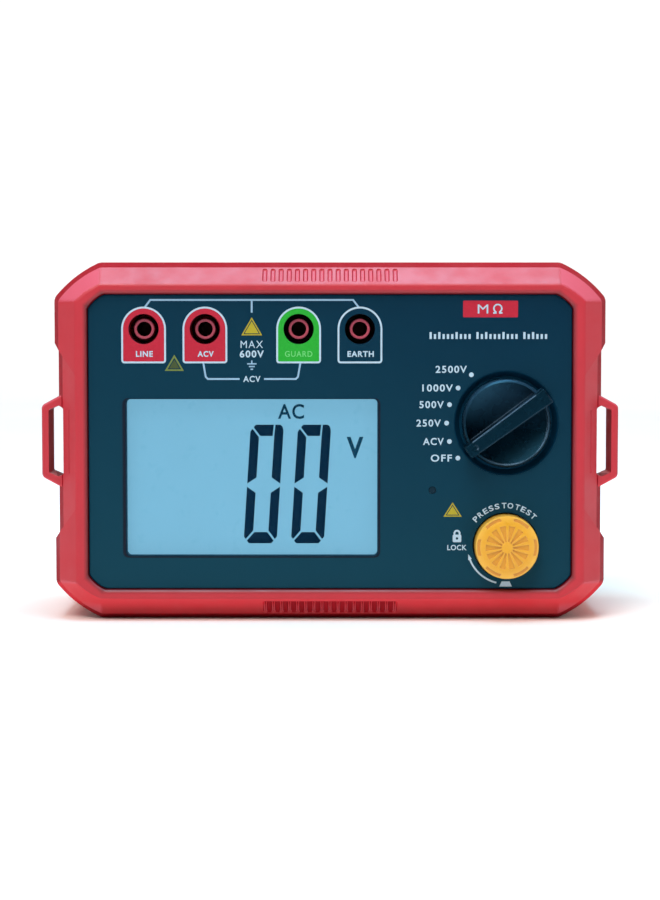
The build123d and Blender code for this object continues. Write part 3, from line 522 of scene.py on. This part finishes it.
def knob_plastic():
    """Near-black satin plastic with a bluish cast, with a painted highlight on its edges that look upwards
    and painted light on the upper part of its scoops.
    """
    lip_r = 11.0 * MM  # where the knob's rim begins
    colour = linear(1, 11, 20)
    s = Surface("knob_plastic", roughness=0.26, specular=0.48)
    s.set("Specular Tint", linear(90, 180, 220))
    tone = s.ramp(s.noise(80.0), [(0.3, shade(colour, 0.85)), (0.7, shade(colour, 1.2))])
    # painted highlight: a pale blue on sharp edges that look upwards, left off the rim's lip except towards
    # its lower right
    edge_sharpness = s.edges(0.0005, 0.995, 0.90)
    lit = s.spread(s.part(s.rounded, "Z"), 0.15, 1.0, -0.1, 0.4)
    place = s.tree.nodes.new("ShaderNodeNewGeometry").outputs["Position"]
    centre = middle("detent_ring")
    right = s.math("SUBTRACT", s.part(place, "X"), centre.x)
    below = s.math("SUBTRACT", centre.z, s.part(place, "Z"))
    bar_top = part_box("range_knob")[0].y
    # painted light: the scoops are paler towards the top of the dial, by place in the world
    scoop_painted_light = s.spread(s.axis("Y"), 0.0, 1.0, bar_top + 2.0 * MM, bar_top + 4.0 * MM)
    upper = s.spread(below, 1.0, 0.0, -8.0 * MM, 2.0 * MM)
    tone = s.mix(s.math("MULTIPLY", scoop_painted_light, upper), tone, linear(27, 50, 66))
    lip = s.spread(radius_of(s, right, below), 0.0, 1.0, lip_r - 0.2 * MM, lip_r + 0.2 * MM)
    lower = s.math("ADD", s.math("MULTIPLY", right, 0.7), s.math("MULTIPLY", below, 0.7))
    lip_unlit = s.math("MULTIPLY", lip, s.spread(lower, 1.0, 0.0, 1.0 * MM, 8.0 * MM))
    edge_painted_highlight = s.math("MULTIPLY", s.math("MULTIPLY", edge_sharpness, lit), s.math("SUBTRACT", 1.0, lip_unlit))
    s.link(s.mix(edge_painted_highlight, tone, linear(118, 142, 164)), "Base Color")
    s.link(s.spread(s.noise(260.0), 0.22, 0.32, 0.3, 0.7), "Roughness")
    s.bump((s.noise(1400.0, 3.0), 0.000006))
    return s.material


def button_plastic():
    """Orange-yellow satin plastic, with painted shade in its rays and notches, a painted highlight round its
    rim, and paler sharp edges.
    """
    colour = linear(224, 154, 22)
    s = Surface("button_plastic", roughness=0.3, specular=0.5)
    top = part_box("test_button_cap")[0].y
    centre = middle("button_lock_plate")
    offsets = [s.math("SUBTRACT", s.axis(name), at) for name, at in (("X", centre.x), ("Z", centre.z))]
    radius = radius_of(s, *offsets)
    tone = s.ramp(s.noise(300.0), [(0.3, shade(colour, 0.94)), (0.7, shade(colour, 1.04))])
    # painted highlight: a paler ring round the rim
    edge = s.spread(radius, 0.0, 0.5, 6.6 * MM, 8.6 * MM)
    tone = s.mix(edge, tone, linear(240, 186, 78))
    # painted shade: darker in the ray grooves and deeper still in the notches
    flat = s.spread(s.math("MULTIPLY", s.facing("Y"), -1.0), 0.0, 1.0, 0.9975, 0.9995)
    ray_shade = s.spread(s.axis("Y"), 0.0, 0.3, top + 0.25 * MM, top + 0.38 * MM)
    tone = s.mix(s.math("MULTIPLY", flat, ray_shade), tone, linear(198, 120, 16))
    notch_shade = s.spread(s.axis("Y"), 0.0, 0.35, top + 0.5 * MM, top + 0.58 * MM)
    tone = s.mix(s.math("MULTIPLY", flat, notch_shade), tone, linear(188, 96, 12))
    s.link(s.mix(s.spread(s.edges(0.0003), 0.0, 0.35), tone, linear(246, 200, 110)), "Base Color")
    s.link(s.spread(s.noise(300.0), 0.26, 0.36, 0.3, 0.7), "Roughness")
    s.bump((s.noise(8000.0, 2.0), 0.00001))
    return s.material


def banded(name, colours, axis, pitch, roughness=0.35):
    """A surface with bands along one axis, such as a label, winding or colour code."""
    s = Surface(name, roughness=roughness)
    wave = s.math("FRACT", s.math("DIVIDE", s.axis(axis), pitch))
    bands = s.ramp(wave, [(i / len(colours), colour) for i, colour in enumerate(colours)])
    bands.node.color_ramp.interpolation = "CONSTANT"
    s.link(s.mix(s.spread(s.noise(900.0), 0.0, 0.25), bands, shade(colours[0], 0.7)), "Base Color")
    s.link(s.spread(s.noise(400.0), roughness - 0.06, roughness + 0.08, 0.3, 0.7), "Roughness")
    s.bump((s.noise(2500.0), 0.00001))
    return s.material


# ---- what each slot is made of -------------------------------------------------------------------
SURFACES = {
    "red_elastomer": red_elastomer("red_elastomer", 0.6, 0.0),
    "panel_film": panel_film(),
    "display_lens": clear_lens(),
    "lcd_glass": display_glass(),
    "circuit_board": circuit_board(),
    "knob_plastic": knob_plastic(),
    "button_plastic": button_plastic(),
    "contact_rubber": banded("contact_rubber", [linear(60, 60, 62), linear(20, 20, 22)], "X", 0.0006),
    "copper_wire": banded("copper_wire", [linear(196, 106, 52), linear(120, 58, 24)], "Z", 0.0006),
    "resistor_body": banded("resistor_body", [linear(90, 140, 190), linear(150, 60, 30), linear(90, 140, 190),
                                              linear(30, 30, 30)], "Z", 0.0045),
}
METALS = {  # colour and roughness
    "gilt_copper": ((214, 166, 84), 0.28),
    "zinc_screw": ((178, 180, 184), 0.3),
    "black_screw": ((46, 46, 50), 0.4),
    "brass_insert": ((206, 168, 92), 0.35),
    "steel_ball": ((200, 200, 204), 0.15),
    "spring_wire": ((160, 160, 164), 0.3),
    "zinc_plate": ((186, 188, 192), 0.32),
    # dark and reddish rather than nickel grey: painted shade deep in the bores and painted reflection of the
    # red sleeves
    "nickel_contact": ((76, 46, 44), 0.5),
}
MOULDINGS = {  # colour, roughness and what else differs
    "case_plastic": ((5, 42, 62), 0.42, {"grain_scale": 6500.0, "tint": linear(96, 190, 235)}),
    "inner_plastic": ((38, 40, 42), 0.5, {}),
    "light_guide": ((214, 232, 240), 0.3, {"vary": 0.04}),
    "led_package": ((236, 226, 170), 0.3, {}),
    "black_rubber": ((28, 28, 30), 0.75, {"grain": 0.00004, "grain_scale": 4000.0}),
    "ferrite": ((52, 52, 56), 0.6, {"grain": 0.00005, "grain_scale": 3000.0, "vary": 0.2}),
    "capacitor_sleeve": ((24, 34, 72), 0.3, {}),
    "film_capacitor": ((176, 96, 30), 0.35, {}),
    "chip_resin": ((30, 30, 32), 0.55, {"grain": 0.00003}),
    "fuse_body": ((222, 226, 220), 0.12, {"vary": 0.03}),
    "lamp_lens": ((12, 36, 48), 0.25, {"specular": 0.1}),
    "cell_jacket": ((30, 32, 38), 0.3, {}),
    "red_lead": ((180, 26, 26), 0.4, {}),
    "black_lead": ((26, 26, 26), 0.4, {}),
    # dark maroon rather than black: painted shade on red plastic deep in the sockets
    "black_socket": ((66, 14, 18), 0.4, {"specular": 0.1}),
    "maroon_socket": ((196, 26, 34), 0.4, {"specular": 0.1}),
    "red_sleeve": ((188, 76, 92), 0.35, {}),
    # painted shade: a darker red for the lower grip grooves
    "red_groove_painted_shade": ((152, 14, 28), 0.6, {"specular": 0.1}),
}
for name, (colour, roughness) in METALS.items():
    SURFACES[name] = metal(name, linear(*colour), roughness)
for name, (colour, roughness, more) in MOULDINGS.items():
    SURFACES[name] = moulded(name, linear(*colour), roughness, **more)

MAROON = ("socket_housing_line", "socket_housing_voltage")  # the two in the red tabs
# the red with painted shade on its walls, and less gloss
RED_SHADED_WALL = red_elastomer("red_wall_painted_shade", 0.04, 0.5)


def paint_wall_shade(obj):
    """Give the steep outer walls the red with more painted shade and less gloss; the insides of the strap
    loops keep the satin one.
    """
    frame_x = film_high.x + 10.7 * MM
    obj.data.materials.append(RED_SHADED_WALL)
    for face in obj.data.polygons:
        outward = face.normal.x * face.center.x > 0.0 or abs(face.center.x) < frame_x
        if -face.normal.y < 0.5 and outward:
            face.material_index = 1


def paint_groove_shade(obj):
    """Give the lower row of grip grooves a darker red as painted shade: the faces a little below the slope's
    own plane.
    """
    row_top, row_half = 9.0 * MM, 18.5 * MM
    shallow, deep = 0.1 * MM, 1.2 * MM
    obj.data.materials.append(SURFACES["red_groove_painted_shade"])
    row = [face for face in obj.data.polygons if face.center.z < row_top and abs(face.center.x) < row_half]
    slope = max((face for face in row if -face.normal.y > 0.5), key=lambda face: face.area)
    for face in row:
        depth = slope.normal.dot(slope.center - face.center)
        along = abs(face.normal.x) > 0.5 or face.normal.dot(slope.normal) > 0.95
        if shallow < depth < deep and along:
            face.material_index = 2


for node, obj in frame["nodes"].items():
    obj.data.materials.clear()
    obj.data.materials.append(SURFACES["maroon_socket" if node in MAROON else SLOT_OF[node]])
    if SLOT_OF[node] == "red_elastomer":
        paint_wall_shade(obj)
paint_groove_shade(frame["nodes"]["front_bezel"])


# ---- printing on the panel -----------------------------------------------------------------------
PRINT = 0.03  # thickness of the ink, in millimetres
LINE = 0.5  # width of a printed line
TAB_R = 5.95
TAB_DROP = 9.25  # from a socket's centre down to the tab's foot
ROW = SOCKET_AT["line"].y
CENTRE = (SOCKET_AT["voltage"].x + SOCKET_AT["guard"].x) / 2  # between the two middle tabs
LABEL_V = ROW - 6.9  # the middle of the tabs' labels
BRACKET_V = ROW - TAB_DROP - 4.6  # the lower line, with its label
DIAL_R = 16.6
DIAL_START = 216.0
DIAL_STEP = 18.0
RANGES = (  # label, its width and its gap to the dot
    ("OFF", 5.9, 1.65), ("ACV", 5.75, 1.6), ("250V", 6.8, 1.6),
    ("500V", 6.8, 1.6), ("1000V", 8.5, 1.45), ("2500V", 8.7, 1.25),
)

WHITE_INK = ink("white_ink", linear(176, 194, 206))
LINE_INK = ink("line_ink", linear(142, 172, 194))
RED_INK = ink("red_ink", linear(182, 33, 52), 0.34)
GREEN_INK = ink("green_ink", linear(36, 156, 44), 0.34)
GREEN_PALE_INK = ink("pale_green_ink", linear(110, 196, 112))
YELLOW_INK = ink("yellow_ink", linear(172, 152, 38))
OLIVE_INK = ink("olive_ink", linear(112, 122, 58))
DIM_INK = ink("dim_olive_ink", linear(66, 76, 40))
# painted shade round the display's window
SHADE_INK = ink("painted_shade_ink", linear(2, 12, 30))
SEGMENT_INK = ink("segment_ink", linear(2, 36, 60), specular=0.04)
UNIT_INK = ink("unit_ink", linear(14, 66, 92), specular=0.04)


def tab_loop(at, shrink=0.0):
    """The outline of a terminal's tab: an arch over the socket, with small round corners at its foot."""
    radius, foot, corner = TAB_R - shrink, TAB_DROP - shrink, 0.6
    points = arc(at, radius, 0, 180, 36)
    points += arc((at[0] - radius + corner, at[1] - foot + corner), corner, 180, 270, 6)
    points += arc((at[0] + radius - corner, at[1] - foot + corner), corner, 270, 360, 6)
    return points


def terminal_tabs():
    """The coloured tabs and their white outlines."""
    fills = {"line": RED_INK, "voltage": RED_INK, "guard": GREEN_INK}
    low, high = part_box("socket_housing_line")
    mouth = (high.x - low.x) / 2 / MM - 1.6
    outlines = Shape()
    for name, at in SOCKET_AT.items():
        if name in fills:
            fill = Shape()
            flat_solid(fill, [tab_loop(at, LINE / 2), circle(at, mouth)], 0.0, PRINT)
            fill.piece("tab_" + name, "housing", fills[name])
        inner, outer = stroke(tab_loop(at), LINE, closed=True)
        flat_solid(outlines, [outer, inner], 0.0, PRINT * 1.5)
    outlines.piece("tab_outlines", "housing", WHITE_INK)


def terminal_lines():
    """The lines that join the tabs, and the sign for earth in the middle."""
    lines = Shape()
    first, last = SOCKET_AT["line"], SOCKET_AT["earth"]
    top, rise = ROW + TAB_R, 2.1
    path = [(first.x + 0.3, top), (first.x + 1.9, top + rise)]
    path += [(last.x - 1.9, top + rise), (last.x - 0.3, top)]
    flat_solid(lines, stroke(path, LINE), 0.0, PRINT)
    flat_solid(lines, stroke([(CENTRE, top + rise), (CENTRE, top - 1.4)], LINE), 0.0, PRINT * 0.9)
    for side, at in ((-1, SOCKET_AT["voltage"]), (1, SOCKET_AT["guard"])):
        path = [(at.x + side * 0.5, ROW - TAB_DROP), (at.x - side * 0.2, BRACKET_V + 0.6),
                (at.x - side * 0.8, BRACKET_V), (CENTRE + side * 3.4, BRACKET_V)]
        flat_solid(lines, stroke(path, LINE), 0.0, PRINT)
    bar = 0.36
    for fall, width in ((2.75, 2.6), (3.5, 1.6), (4.25, 0.7)):
        flat_solid(lines, [box_loop((CENTRE, LABEL_V - fall), width, bar)], 0.0, PRINT)
    flat_solid(lines, stroke([(CENTRE, ROW - 8.7), (CENTRE, ROW - 9.6)], bar), 0.0, PRINT * 0.9)
    lines.piece("terminal_lines", "housing", LINE_INK)


def terminal_words():
    """The labels on the tabs and between them."""
    words = Shape()
    for name, text, width in (("line", "LINE", 4.7), ("voltage", "ACV", 4.5), ("earth", "EARTH", 7.3)):
        lettering(words, text, (SOCKET_AT[name].x + 0.2, LABEL_V), 1.6, width, low=PRINT, high=PRINT * 2,
                  weight=0.03, spacing=1.15)
    lettering(words, "ACV", (CENTRE, BRACKET_V), 1.7, 4.8, high=PRINT, weight=0.02, spacing=1.15)
    lettering(words, "MAX", (CENTRE, LABEL_V + 2.65), 2.0, 6.2, high=PRINT, spacing=1.2)
    lettering(words, "600V", (CENTRE, LABEL_V), 2.0, 6.7, high=PRINT, weight=0.025, spacing=1.2)
    words.piece("terminal_lettering", "housing", WHITE_INK)
    guard = Shape()
    lettering(guard, "GUARD", (SOCKET_AT["guard"].x, LABEL_V), 1.6, 7.6, low=PRINT, high=PRINT * 2,
              weight=0.006, spacing=1.15)
    guard.piece("guard_lettering", "housing", GREEN_PALE_INK)


def triangle(at, half, height, inset=0.0):
    """An upright triangle, or one that lies inside it by the same distance along every side."""
    slant = math.hypot(half, height)
    side = inset * (slant + half) / height
    return [(at[0] - half + side, at[1] + inset), (at[0] + half - side, at[1] + inset),
            (at[0], at[1] + height - inset * slant / half)]


def caution_marks():
    """Plain yellow triangles with no symbol in them."""
    marks = Shape()
    for at, half, height in (((CENTRE, ROW - 1.75), 2.9, 5.0),
                             ((BUTTON_AT.x - 14.85, BUTTON_AT.y + 8.1), 2.55, 4.0)):
        flat_solid(marks, [triangle(at, half, height), triangle(at, half, height, 0.32)[::-1]], 0.0, PRINT)
        flat_solid(marks, [triangle(at, half, height, 0.55)], 0.0, PRINT)
    marks.piece("caution_triangles", "housing", YELLOW_INK)
    at = ((SOCKET_AT["line"].x + SOCKET_AT["voltage"].x) / 2, ROW - 11.6)
    half, height = 2.65, 4.5
    ring = Shape()
    flat_solid(ring, [triangle(at, half, height), triangle(at, half, height, 0.42)[::-1]], 0.0, PRINT)
    ring.piece("caution_ring", "housing", OLIVE_INK)
    field = Shape()
    flat_solid(field, [triangle(at, half, height, 0.7)], 0.0, PRINT)
    field.piece("caution_field", "housing", DIM_INK)


def title_block():
    """A red plate with the sign for megohms, and a plain row of ticks, at the upper right."""
    at = (44.5, 36.95)
    plate = Shape()
    flat_solid(plate, [rounded_box(at, 15.2, 4.6, 0.25)], 0.0, PRINT)
    plate.piece("title_plate", "housing", RED_INK)
    words = Shape()
    lettering(words, "M", (at[0] - 2.1, at[1]), 2.5, 2.9, low=PRINT, high=PRINT * 2)
    bend = arc((at[0] + 2.0, at[1] + 0.15), 1.1, 240, -60, 24)
    foot = at[1] - 1.1
    ohm = [(at[0] + 0.7, foot), (bend[0][0], foot)] + bend + [(bend[-1][0], foot), (at[0] + 3.3, foot)]
    flat_solid(words, stroke(ohm, 0.42), PRINT, PRINT * 2)
    tick, pitch, space = 0.62, 1.2, 1.0
    left, foot = at[0] - 16.9, 28.65
    for ticks in (10, 10, 6):
        for number in range(ticks):
            height = 1.9 if number == 0 or number % 4 == 2 else 1.35
            flat_solid(words, [box_loop((left + tick / 2, foot + height / 2), tick, height)], 0.0, PRINT)
            left += pitch
        left += space
    words.piece("title_lettering", "housing", WHITE_INK)


def range_marks():
    """A dot and a label at each place of the range knob."""
    words = Shape()
    for number, (text, width, gap) in enumerate(RANGES):
        dot = around(KNOB_AT, DIAL_R, DIAL_START - DIAL_STEP * number)
        flat_solid(words, [circle(dot, 0.66, 24)], 0.0, PRINT)
        lift = 1.5 if number == len(RANGES) - 1 else 0.0
        lettering(words, text, (dot[0] - gap, dot[1] + lift), 2.0, width, high=PRINT, weight=0.02, right=True,
                  spacing=1.2)
    words.piece("range_lettering", "housing", WHITE_INK)


def press_wording(marks):
    """The words over the test button, letter by letter along an arc."""
    letter_r, angle, pitch, space = 11.2, 138.4, 8.9, 1.4
    for word in ("PRESS", "TO", "TEST"):
        for letter in word:
            width = 1.6 if letter == "O" else 1.3
            lettering(marks, letter, around(BUTTON_AT, letter_r, angle), 1.55, width, turn=angle - 90,
                      high=PRINT, weight=0.02)
            angle -= pitch
        angle -= space


def lock_sign(marks):
    """A padlock and its word, to the left of the test button."""
    lock = Vector((BUTTON_AT.x - 13.6, BUTTON_AT.y + 2.0))
    half, foot = 0.72, lock.y + 0.95
    flat_solid(marks, [rounded_box(lock, 2.4, 2.1, 0.35), circle(lock, 0.36, 16)], 0.0, PRINT)
    bow = arc((lock.x, lock.y + 1.45), half, 180, 0, 12)
    shackle = [(lock.x - half, foot)] + bow + [(lock.x + half, foot)]
    flat_solid(marks, stroke(shackle, 0.5), 0.0, PRINT * 0.9)
    lettering(marks, "LOCK", (lock.x, lock.y - 2.55), 1.5, 5.4, high=PRINT, weight=0.02, spacing=1.1)


def turn_arrow(marks):
    """The arrow for the button's turn, and the mark that it starts from."""
    sweep_r = 10.7
    flat_solid(marks, stroke(arc(BUTTON_AT, sweep_r, 256, 201, 24), 0.48), 0.0, PRINT)
    corners = ((193.0, 0.0), (201.5, 0.55), (201.5, -0.55))  # angle, and distance out from the line
    head = [around(BUTTON_AT, sweep_r + out, angle) for angle, out in corners]
    flat_solid(marks, [head], 0.0, PRINT * 1.2)
    x, y = BUTTON_AT.x, BUTTON_AT.y - 10.75
    wide, narrow, half = 1.75, 1.1, 0.72
    start = [(x - wide, y - half), (x + wide, y - half), (x + narrow, y + half), (x - narrow, y + half)]
    flat_solid(marks, [start], 0.0, PRINT)


def button_marks():
    """The wording, lock sign and turning arrow round the test button."""
    marks = Shape()
    press_wording(marks)
    lock_sign(marks)
    turn_arrow(marks)
    marks.piece("button_lettering", "housing", WHITE_INK)


def display_edge_shade():
    """Painted shade: a dark band round the display's window, widest at its left and almost none at its top.
    """
    low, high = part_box("display_lens")
    flange = 1.6
    half_w = (high.x - low.x) / 2 / MM - flange + 0.25
    half_h = (high.z - low.z) / 2 / MM - flange + 0.25
    x, y = DISPLAY_AT
    inner = rounded_box((x, y), half_w * 2, half_h * 2, 1.4)
    left, right, foot, top = 0.85, 0.55, 0.4, 0.05
    outer = rounded_box((x + (right - left) / 2, y + (top - foot) / 2), half_w * 2 + left + right,
                        half_h * 2 + foot + top, 1.6)
    border = Shape()
    flat_solid(border, [outer, inner[::-1]], 0.0, PRINT)
    border.piece("display_edge_shade", "housing", SHADE_INK)


# ---- display -------------------------------------------------------------------------------------
DIGIT_W, DIGIT_H = 9.25, 33.3
SEGMENT_W, SEGMENT_H = 2.5, 3.15
DIGIT_SLANT = math.tan(math.radians(3.6))
DIGIT_PITCH = 13.25


def digit_zero():
    """The six lit segments of a zero, before they are slanted."""
    w, h, a, b = DIGIT_W, DIGIT_H, SEGMENT_W, SEGMENT_H
    half = h / 2 - 0.3
    gap = 0.45
    left_up = [(0, half + gap), (a, half + gap + 1.7), (a, h - b - 0.35), (0.55, h - 1.15), (0, h - 2.0)]
    left_low = [(0, half - gap), (a, half - gap - 1.7), (a, b + 0.45), (0.55, 1.2), (0, 1.9)]
    right_up = [(w - a + 0.15, h), (w - 0.95, h), (w - 0.3, h - 0.6), (w, h - 1.7), (w, half + gap),
                (w - a, half + gap + 1.7), (w - a, h - b)]
    right_low = [(w - x, y) for x, y in left_low]
    top = [(0.85, h - 0.75), (1.45, h), (w - a - 0.3, h), (w - a - 0.45, h - b), (a + 0.35, h - b)]
    bottom = [(0.85, 0.75), (1.5, 0), (w - 1.5, 0), (w - 0.85, 0.75), (w - a - 0.35, b), (a + 0.35, b)]
    return [left_up, left_low, right_up, right_low, top, bottom]


def display_reading():
    """The lit segments, the AC sign and the unit, on the front of the display glass."""
    on_glass = {"low": 0.02, "high": 0.06, "base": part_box("lcd_glass")[0].y}
    foot = DISPLAY_AT.y - 18.8
    segments = Shape()
    for number in range(2):
        left = DISPLAY_AT.x - 2.55 + DIGIT_PITCH * number
        for outline in digit_zero():
            slanted = [(left + x + y * DIGIT_SLANT, foot + y) for x, y in outline]
            flat_solid(segments, [slanted], **on_glass)
    segments.piece("display_segments", "housing", SEGMENT_INK)
    units = Shape()
    lettering(units, "AC", (DISPLAY_AT.x + 10.8, DISPLAY_AT.y + 18.2), 4.2, 7.3, weight=0.016, spacing=1.1,
              **on_glass)
    lettering(units, "V", (DISPLAY_AT.x + 28.7, DISPLAY_AT.y + 8.1), 6.0, 4.7, weight=0.03, **on_glass)
    units.piece("display_units", "housing", UNIT_INK)


# ---- cells ---------------------------------------------------------------------------------------
CELL_LENGTH = 49.2 * MM
SLEEVE_STEPS = 64


def sleeve(shape, section, axis_y, axis_z):
    """A closed band round a line along X. Its section is (x, radius) pairs in order."""
    points, faces = [], []
    forward = section[1][0] > section[0][0]
    for x, radius in section:
        for i in range(SLEEVE_STEPS):
            angle = 2 * math.pi * i / SLEEVE_STEPS
            points.append((x, axis_y + radius * math.cos(angle), axis_z + radius * math.sin(angle)))
    for ring in range(len(section)):
        here, after = ring * SLEEVE_STEPS, (ring + 1) % len(section) * SLEEVE_STEPS
        for i in range(SLEEVE_STEPS):
            j = (i + 1) % SLEEVE_STEPS
            quad = (here + i, here + j, after + j, after + i)
            faces.append(quad if forward else quad[::-1])
    shape.add(points, faces)


def cell_jackets():
    """A printed sleeve on each cell, with a coloured band at its positive end."""
    low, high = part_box("batteries")
    radius = (high.y - low.y) / 2
    axis_y = (low.y + high.y) / 2
    pitch = (high.z - low.z - 2 * radius) / 2
    inside, rim, proud = radius - 0.3 * MM, radius + 0.04 * MM, radius + 0.14 * MM
    slope = 0.004  # of the cell's length
    band = ink("cell_band", linear(196, 120, 50), 0.3)
    parts = (("band", 0.02, 0.3, band), ("jacket", 0.31, 0.97, SURFACES["cell_jacket"]))
    for row in (-1, 0, 1):
        z = (low.z + high.z) / 2 + row * pitch
        inward = row != 0  # the positive end is towards the middle
        start = 2.4 * MM if inward else high.x - 1.2 * MM - CELL_LENGTH
        end = start + CELL_LENGTH
        nub, tail = (start, end) if inward else (end, start)
        for side, side_name in ((-1, "left"), (1, "right")):
            for part, first, last, material in parts:
                xs = [side * (nub + (tail - nub) * t) for t in (first, first + slope, last - slope, last)]
                xs += [xs[-1], xs[0]]
                section = list(zip(xs, (rim, proud, proud, rim, inside, inside)))
                shape = Shape()
                sleeve(shape, section, axis_y, z)
                name = f"cell_{part}_{row + 2}_{side_name}"
                shape.piece(name, "housing", material, smooth=True)


# ---- return spring -------------------------------------------------------------------------------
WIRE_R = 0.45 * MM
COIL_PITCH = 2.7 * MM
STEPS_PER_TURN = 36
WIRE_SIDES = 12


def return_spring():
    """The button's coil spring between the lock plate and the cap, drawn again as a round wire helix in place
    of the CAD one.
    """
    low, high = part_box("button_return_spring")
    axis_x, axis_z = (low.x + high.x) / 2, (low.z + high.z) / 2
    coil_r = (high.x - low.x) / 2 - WIRE_R
    travel = high.y - low.y - 2 * WIRE_R
    turns = travel / COIL_PITCH
    steps = int(turns * STEPS_PER_TURN)
    climb = math.atan2(COIL_PITCH, 2 * math.pi * coil_r)
    points, faces = [], []
    for i in range(steps + 1):
        angle = 2 * math.pi * turns * i / steps
        outward = Vector((math.cos(angle), 0.0, math.sin(angle)))
        level = Vector((-math.sin(angle), 0.0, math.cos(angle)))
        along = level * math.cos(climb) + Vector((0.0, math.sin(climb), 0.0))
        across = along.cross(outward)
        centre = Vector((axis_x, low.y + WIRE_R + travel * i / steps, axis_z)) + outward * coil_r
        for j in range(WIRE_SIDES):
            turn = 2 * math.pi * j / WIRE_SIDES
            points.append(centre + WIRE_R * (math.cos(turn) * outward + math.sin(turn) * across))
    for i in range(steps):
        for j in range(WIRE_SIDES):
            a, b = i * WIRE_SIDES + j, i * WIRE_SIDES + (j + 1) % WIRE_SIDES
            faces.append((a, b, b + WIRE_SIDES, a + WIRE_SIDES))
    faces.append(tuple(reversed(range(WIRE_SIDES))))
    faces.append(tuple(steps * WIRE_SIDES + j for j in range(WIRE_SIDES)))
    shape = Shape()
    shape.add(points, faces)
    coil = shape.build("return_spring", SURFACES["spring_wire"], smooth=True)
    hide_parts("button_return_spring")
    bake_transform(coil)


terminal_tabs()
terminal_lines()
terminal_words()
caution_marks()
title_block()
range_marks()
button_marks()
display_edge_shade()
display_reading()
cell_jackets()
return_spring()


# ---- floor, light and camera ---------------------------------------------------------------------
def backdrop():
    """A pale floor that rises into a wall all round, far outside every view's camera."""
    flat_r, bend_r, wall_top, steps = 1.6, 1.4, 2.6, 96
    turns = [math.radians(9 * i) for i in range(1, 11)]
    rings = [(0.6, 0.0), (flat_r, 0.0)]
    rings += [(flat_r + bend_r * math.sin(a), bend_r * (1 - math.cos(a))) for a in turns]
    rings.append((flat_r + bend_r, wall_top))
    points = [(0.0, 0.0, 0.0)]
    for radius, height in rings:
        points += [(x, y, height) for x, y in circle((0.0, 0.0), radius, steps)]
    faces = [(0, 1 + i, 1 + (i + 1) % steps) for i in range(steps)]
    for ring in range(len(rings) - 1):
        here, after = 1 + ring * steps, 1 + (ring + 1) * steps
        for i in range(steps):
            j = (i + 1) % steps
            faces.append((here + i, after + i, after + j, here + j))
    mesh = bpy.data.meshes.new("floor")
    mesh.from_pydata(points, [], faces)
    mesh.shade_smooth()
    s = Surface("floor", roughness=0.9, specular=0.1)
    pale = s.ramp(s.noise(3.0), [(0.3, linear(240, 240, 241)), (0.7, linear(244, 244, 245))])
    reach = s.math("ADD", s.math("ABSOLUTE", s.axis("X")), s.math("ABSOLUTE", s.axis("Y")))
    s.link(s.mix(s.spread(reach, 1.0, 0.0, 0.12, 0.4), pale, linear(246, 230, 220)), "Base Color")
    mesh.materials.append(s.material)
    floor = bpy.data.objects.new("floor", mesh)
    scene.collection.objects.link(floor)


def area_light(name, place, target, size, power, colour):
    """A soft square light aimed at a point."""
    data = bpy.data.lights.new(name, "AREA")
    data.size = size
    data.energy = power
    data.color = colour
    light = bpy.data.objects.new(name, data)
    light.location = place
    light.rotation_euler = (Vector(target) - Vector(place)).to_track_quat("-Z", "Y").to_euler()
    scene.collection.objects.link(light)


def broad_light(name, towards, strength, spread):
    """Even soft light over the whole floor, coming from one direction."""
    data = bpy.data.lights.new(name, "SUN")
    data.energy = strength
    data.angle = math.radians(spread)
    light = bpy.data.objects.new(name, data)
    light.rotation_euler = Vector(towards).to_track_quat("-Z", "Y").to_euler()
    scene.collection.objects.link(light)


def camera():
    """The camera in front of the panel, a little above its middle."""
    distance = 0.634
    rise = math.radians(3.2)
    centre = Vector((PANEL_MID.x, PANEL_Y, PANEL_MID.z))
    data = bpy.data.cameras.new("camera")
    data.lens = 91.2
    data.sensor_width = 36.0
    cam = bpy.data.objects.new("camera", data)
    cam.location = centre + distance * Vector((0.0, -math.cos(rise), math.sin(rise)))
    aim = centre - Vector((0.0, 0.0, 2.2 * MM))
    cam.rotation_euler = (aim - cam.location).to_track_quat("-Z", "Y").to_euler()
    scene.collection.objects.link(cam)
    scene.camera = cam


def studio():
    """Soft light from above and in front, with a pale surround."""
    world = bpy.data.worlds.new("studio")
    world.use_nodes = True
    world.node_tree.nodes["Background"].inputs["Color"].default_value = (1.0, 1.0, 1.0, 1.0)
    world.node_tree.nodes["Background"].inputs["Strength"].default_value = 0.35
    scene.world = world
    middle_z = PANEL_MID.z
    broad_light("key", (0.25, 0.72, -0.9), 2.1, 30.0)
    broad_light("back", (-0.3, -0.8, -0.7), 0.5, 40.0)
    area_light("top", (0.0, -0.05, 0.75), (0.0, 0.0, middle_z), 0.45, 6.6, (0.40, 0.77, 1.0))
    scene.view_settings.view_transform = "Standard"


backdrop()
studio()
camera()
